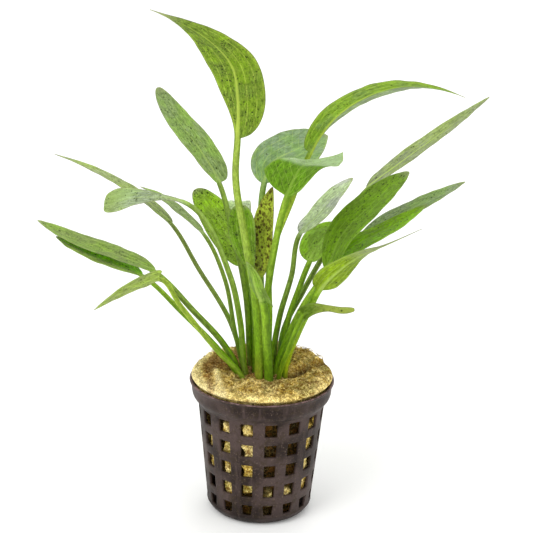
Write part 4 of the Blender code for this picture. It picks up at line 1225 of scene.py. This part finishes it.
def makePot():
    # the outer skin, closed underneath, made solid inwards and rounded once
    points, solid = potSurface()
    rows, columns, _ = points.shape
    quads = gridFaces(rows, columns, True)[:, ::-1][solid.ravel()]
    total = rows * columns
    last = np.arange(columns) + total - columns
    triangles = fanFaces(total, last[::-1])
    vertices = np.concatenate([points.reshape(-1, 3), [[0.0, 0.0, 0.0]]])
    mesh, _ = makeMesh("netPot", vertices, quads, triangles)
    piece = addPiece("netPot", mesh, ["net_pot"], potMaterial())
    wall = piece.modifiers.new("wall", "SOLIDIFY")
    wall.thickness = pot["wall"] * mm
    wall.offset = -1.0
    wall.use_even_offset = True
    smooth = piece.modifiers.new("rounding", "SUBSURF")
    smooth.levels = 1
    smooth.render_levels = 1
    print("net pot made")


# the camera's place is in metres, and each light has its place, the place it looks at, its size in
# metres and its power
studio = {
    "floorColour": (0.93, 0.93, 0.92),
    "floorReach": 6000.0,
    "cameraPlace": (0.0006, -0.517, 0.264),
    "pitch": 18.4,
    "roll": 1.5,
    "focalPixels": 1551.0,
    "imagePixels": 533.0,
    "world": 1.06,
    "lights": {
        "keyLight": ((-0.55, -0.6, 0.85), (0.0, 0.0, 0.08), 0.6, 4.5),
        "fillLight": ((0.8, -0.5, 0.4), (0.0, 0.0, 0.08), 0.8, 0.8),
        "backLight": ((0.25, 0.8, 0.8), (0.0, 0.0, 0.1), 0.7, 2.2),
    },
}


def makeFloor():
    # one pale square at the ground's height
    far = studio["floorReach"]
    corners = np.array([(-far, -far, 0.0), (far, -far, 0.0), (far, far, 0.0), (-far, far, 0.0)])
    mesh, _ = makeMesh("floor", corners, np.array([[0, 1, 2, 3]]))
    floor = bpy.data.objects.new("floor", mesh)
    bpy.context.scene.collection.objects.link(floor)
    mesh.materials.append(Nodes("floorPaper").skin(studio["floorColour"], 0.9, 0.1))


def addLight(name, place, target, size, power):
    # a soft round light that faces its target
    light = bpy.data.lights.new(name, "AREA")
    light.shape = "DISK"
    light.size = size
    light.energy = power
    holder = bpy.data.objects.new(name, light)
    holder.location = place
    holder.rotation_euler = (Vector(target) - Vector(place)).to_track_quat("-Z", "Y").to_euler()
    bpy.context.scene.collection.objects.link(holder)


def makeLights():
    for name, light in studio["lights"].items():
        addLight(name, *light)
    world = bpy.data.worlds.new("studioAir")
    world.use_nodes = True
    background = world.node_tree.nodes["Background"]
    background.inputs["Color"].default_value = (1.0, 1.0, 1.0, 1.0)
    background.inputs["Strength"].default_value = studio["world"]
    bpy.context.scene.world = world


def makeCamera():
    # looks level along +Y, then down by the pitch and turned by the roll
    camera = bpy.data.objects.new("camera", bpy.data.cameras.new("camera"))
    camera.data.sensor_width = 36.0
    camera.data.lens = 36.0 * studio["focalPixels"] / studio["imagePixels"]
    camera.data.clip_end = 50.0
    pitch = Matrix.Rotation(radians(90.0 - studio["pitch"]), 4, "X")
    turned = pitch @ Matrix.Rotation(radians(studio["roll"]), 4, "Z")
    camera.matrix_world = Matrix.Translation(studio["cameraPlace"]) @ turned
    bpy.context.scene.collection.objects.link(camera)
    bpy.context.scene.camera = camera
    bpy.context.scene.view_settings.view_transform = "Standard"


makeFloor()
makeLights()
makeCamera()
print("studio ready")
makePot()
moundPoints, moundTones = makeWool()
makeFibres(moundPoints, moundTones)
makeLeaves()
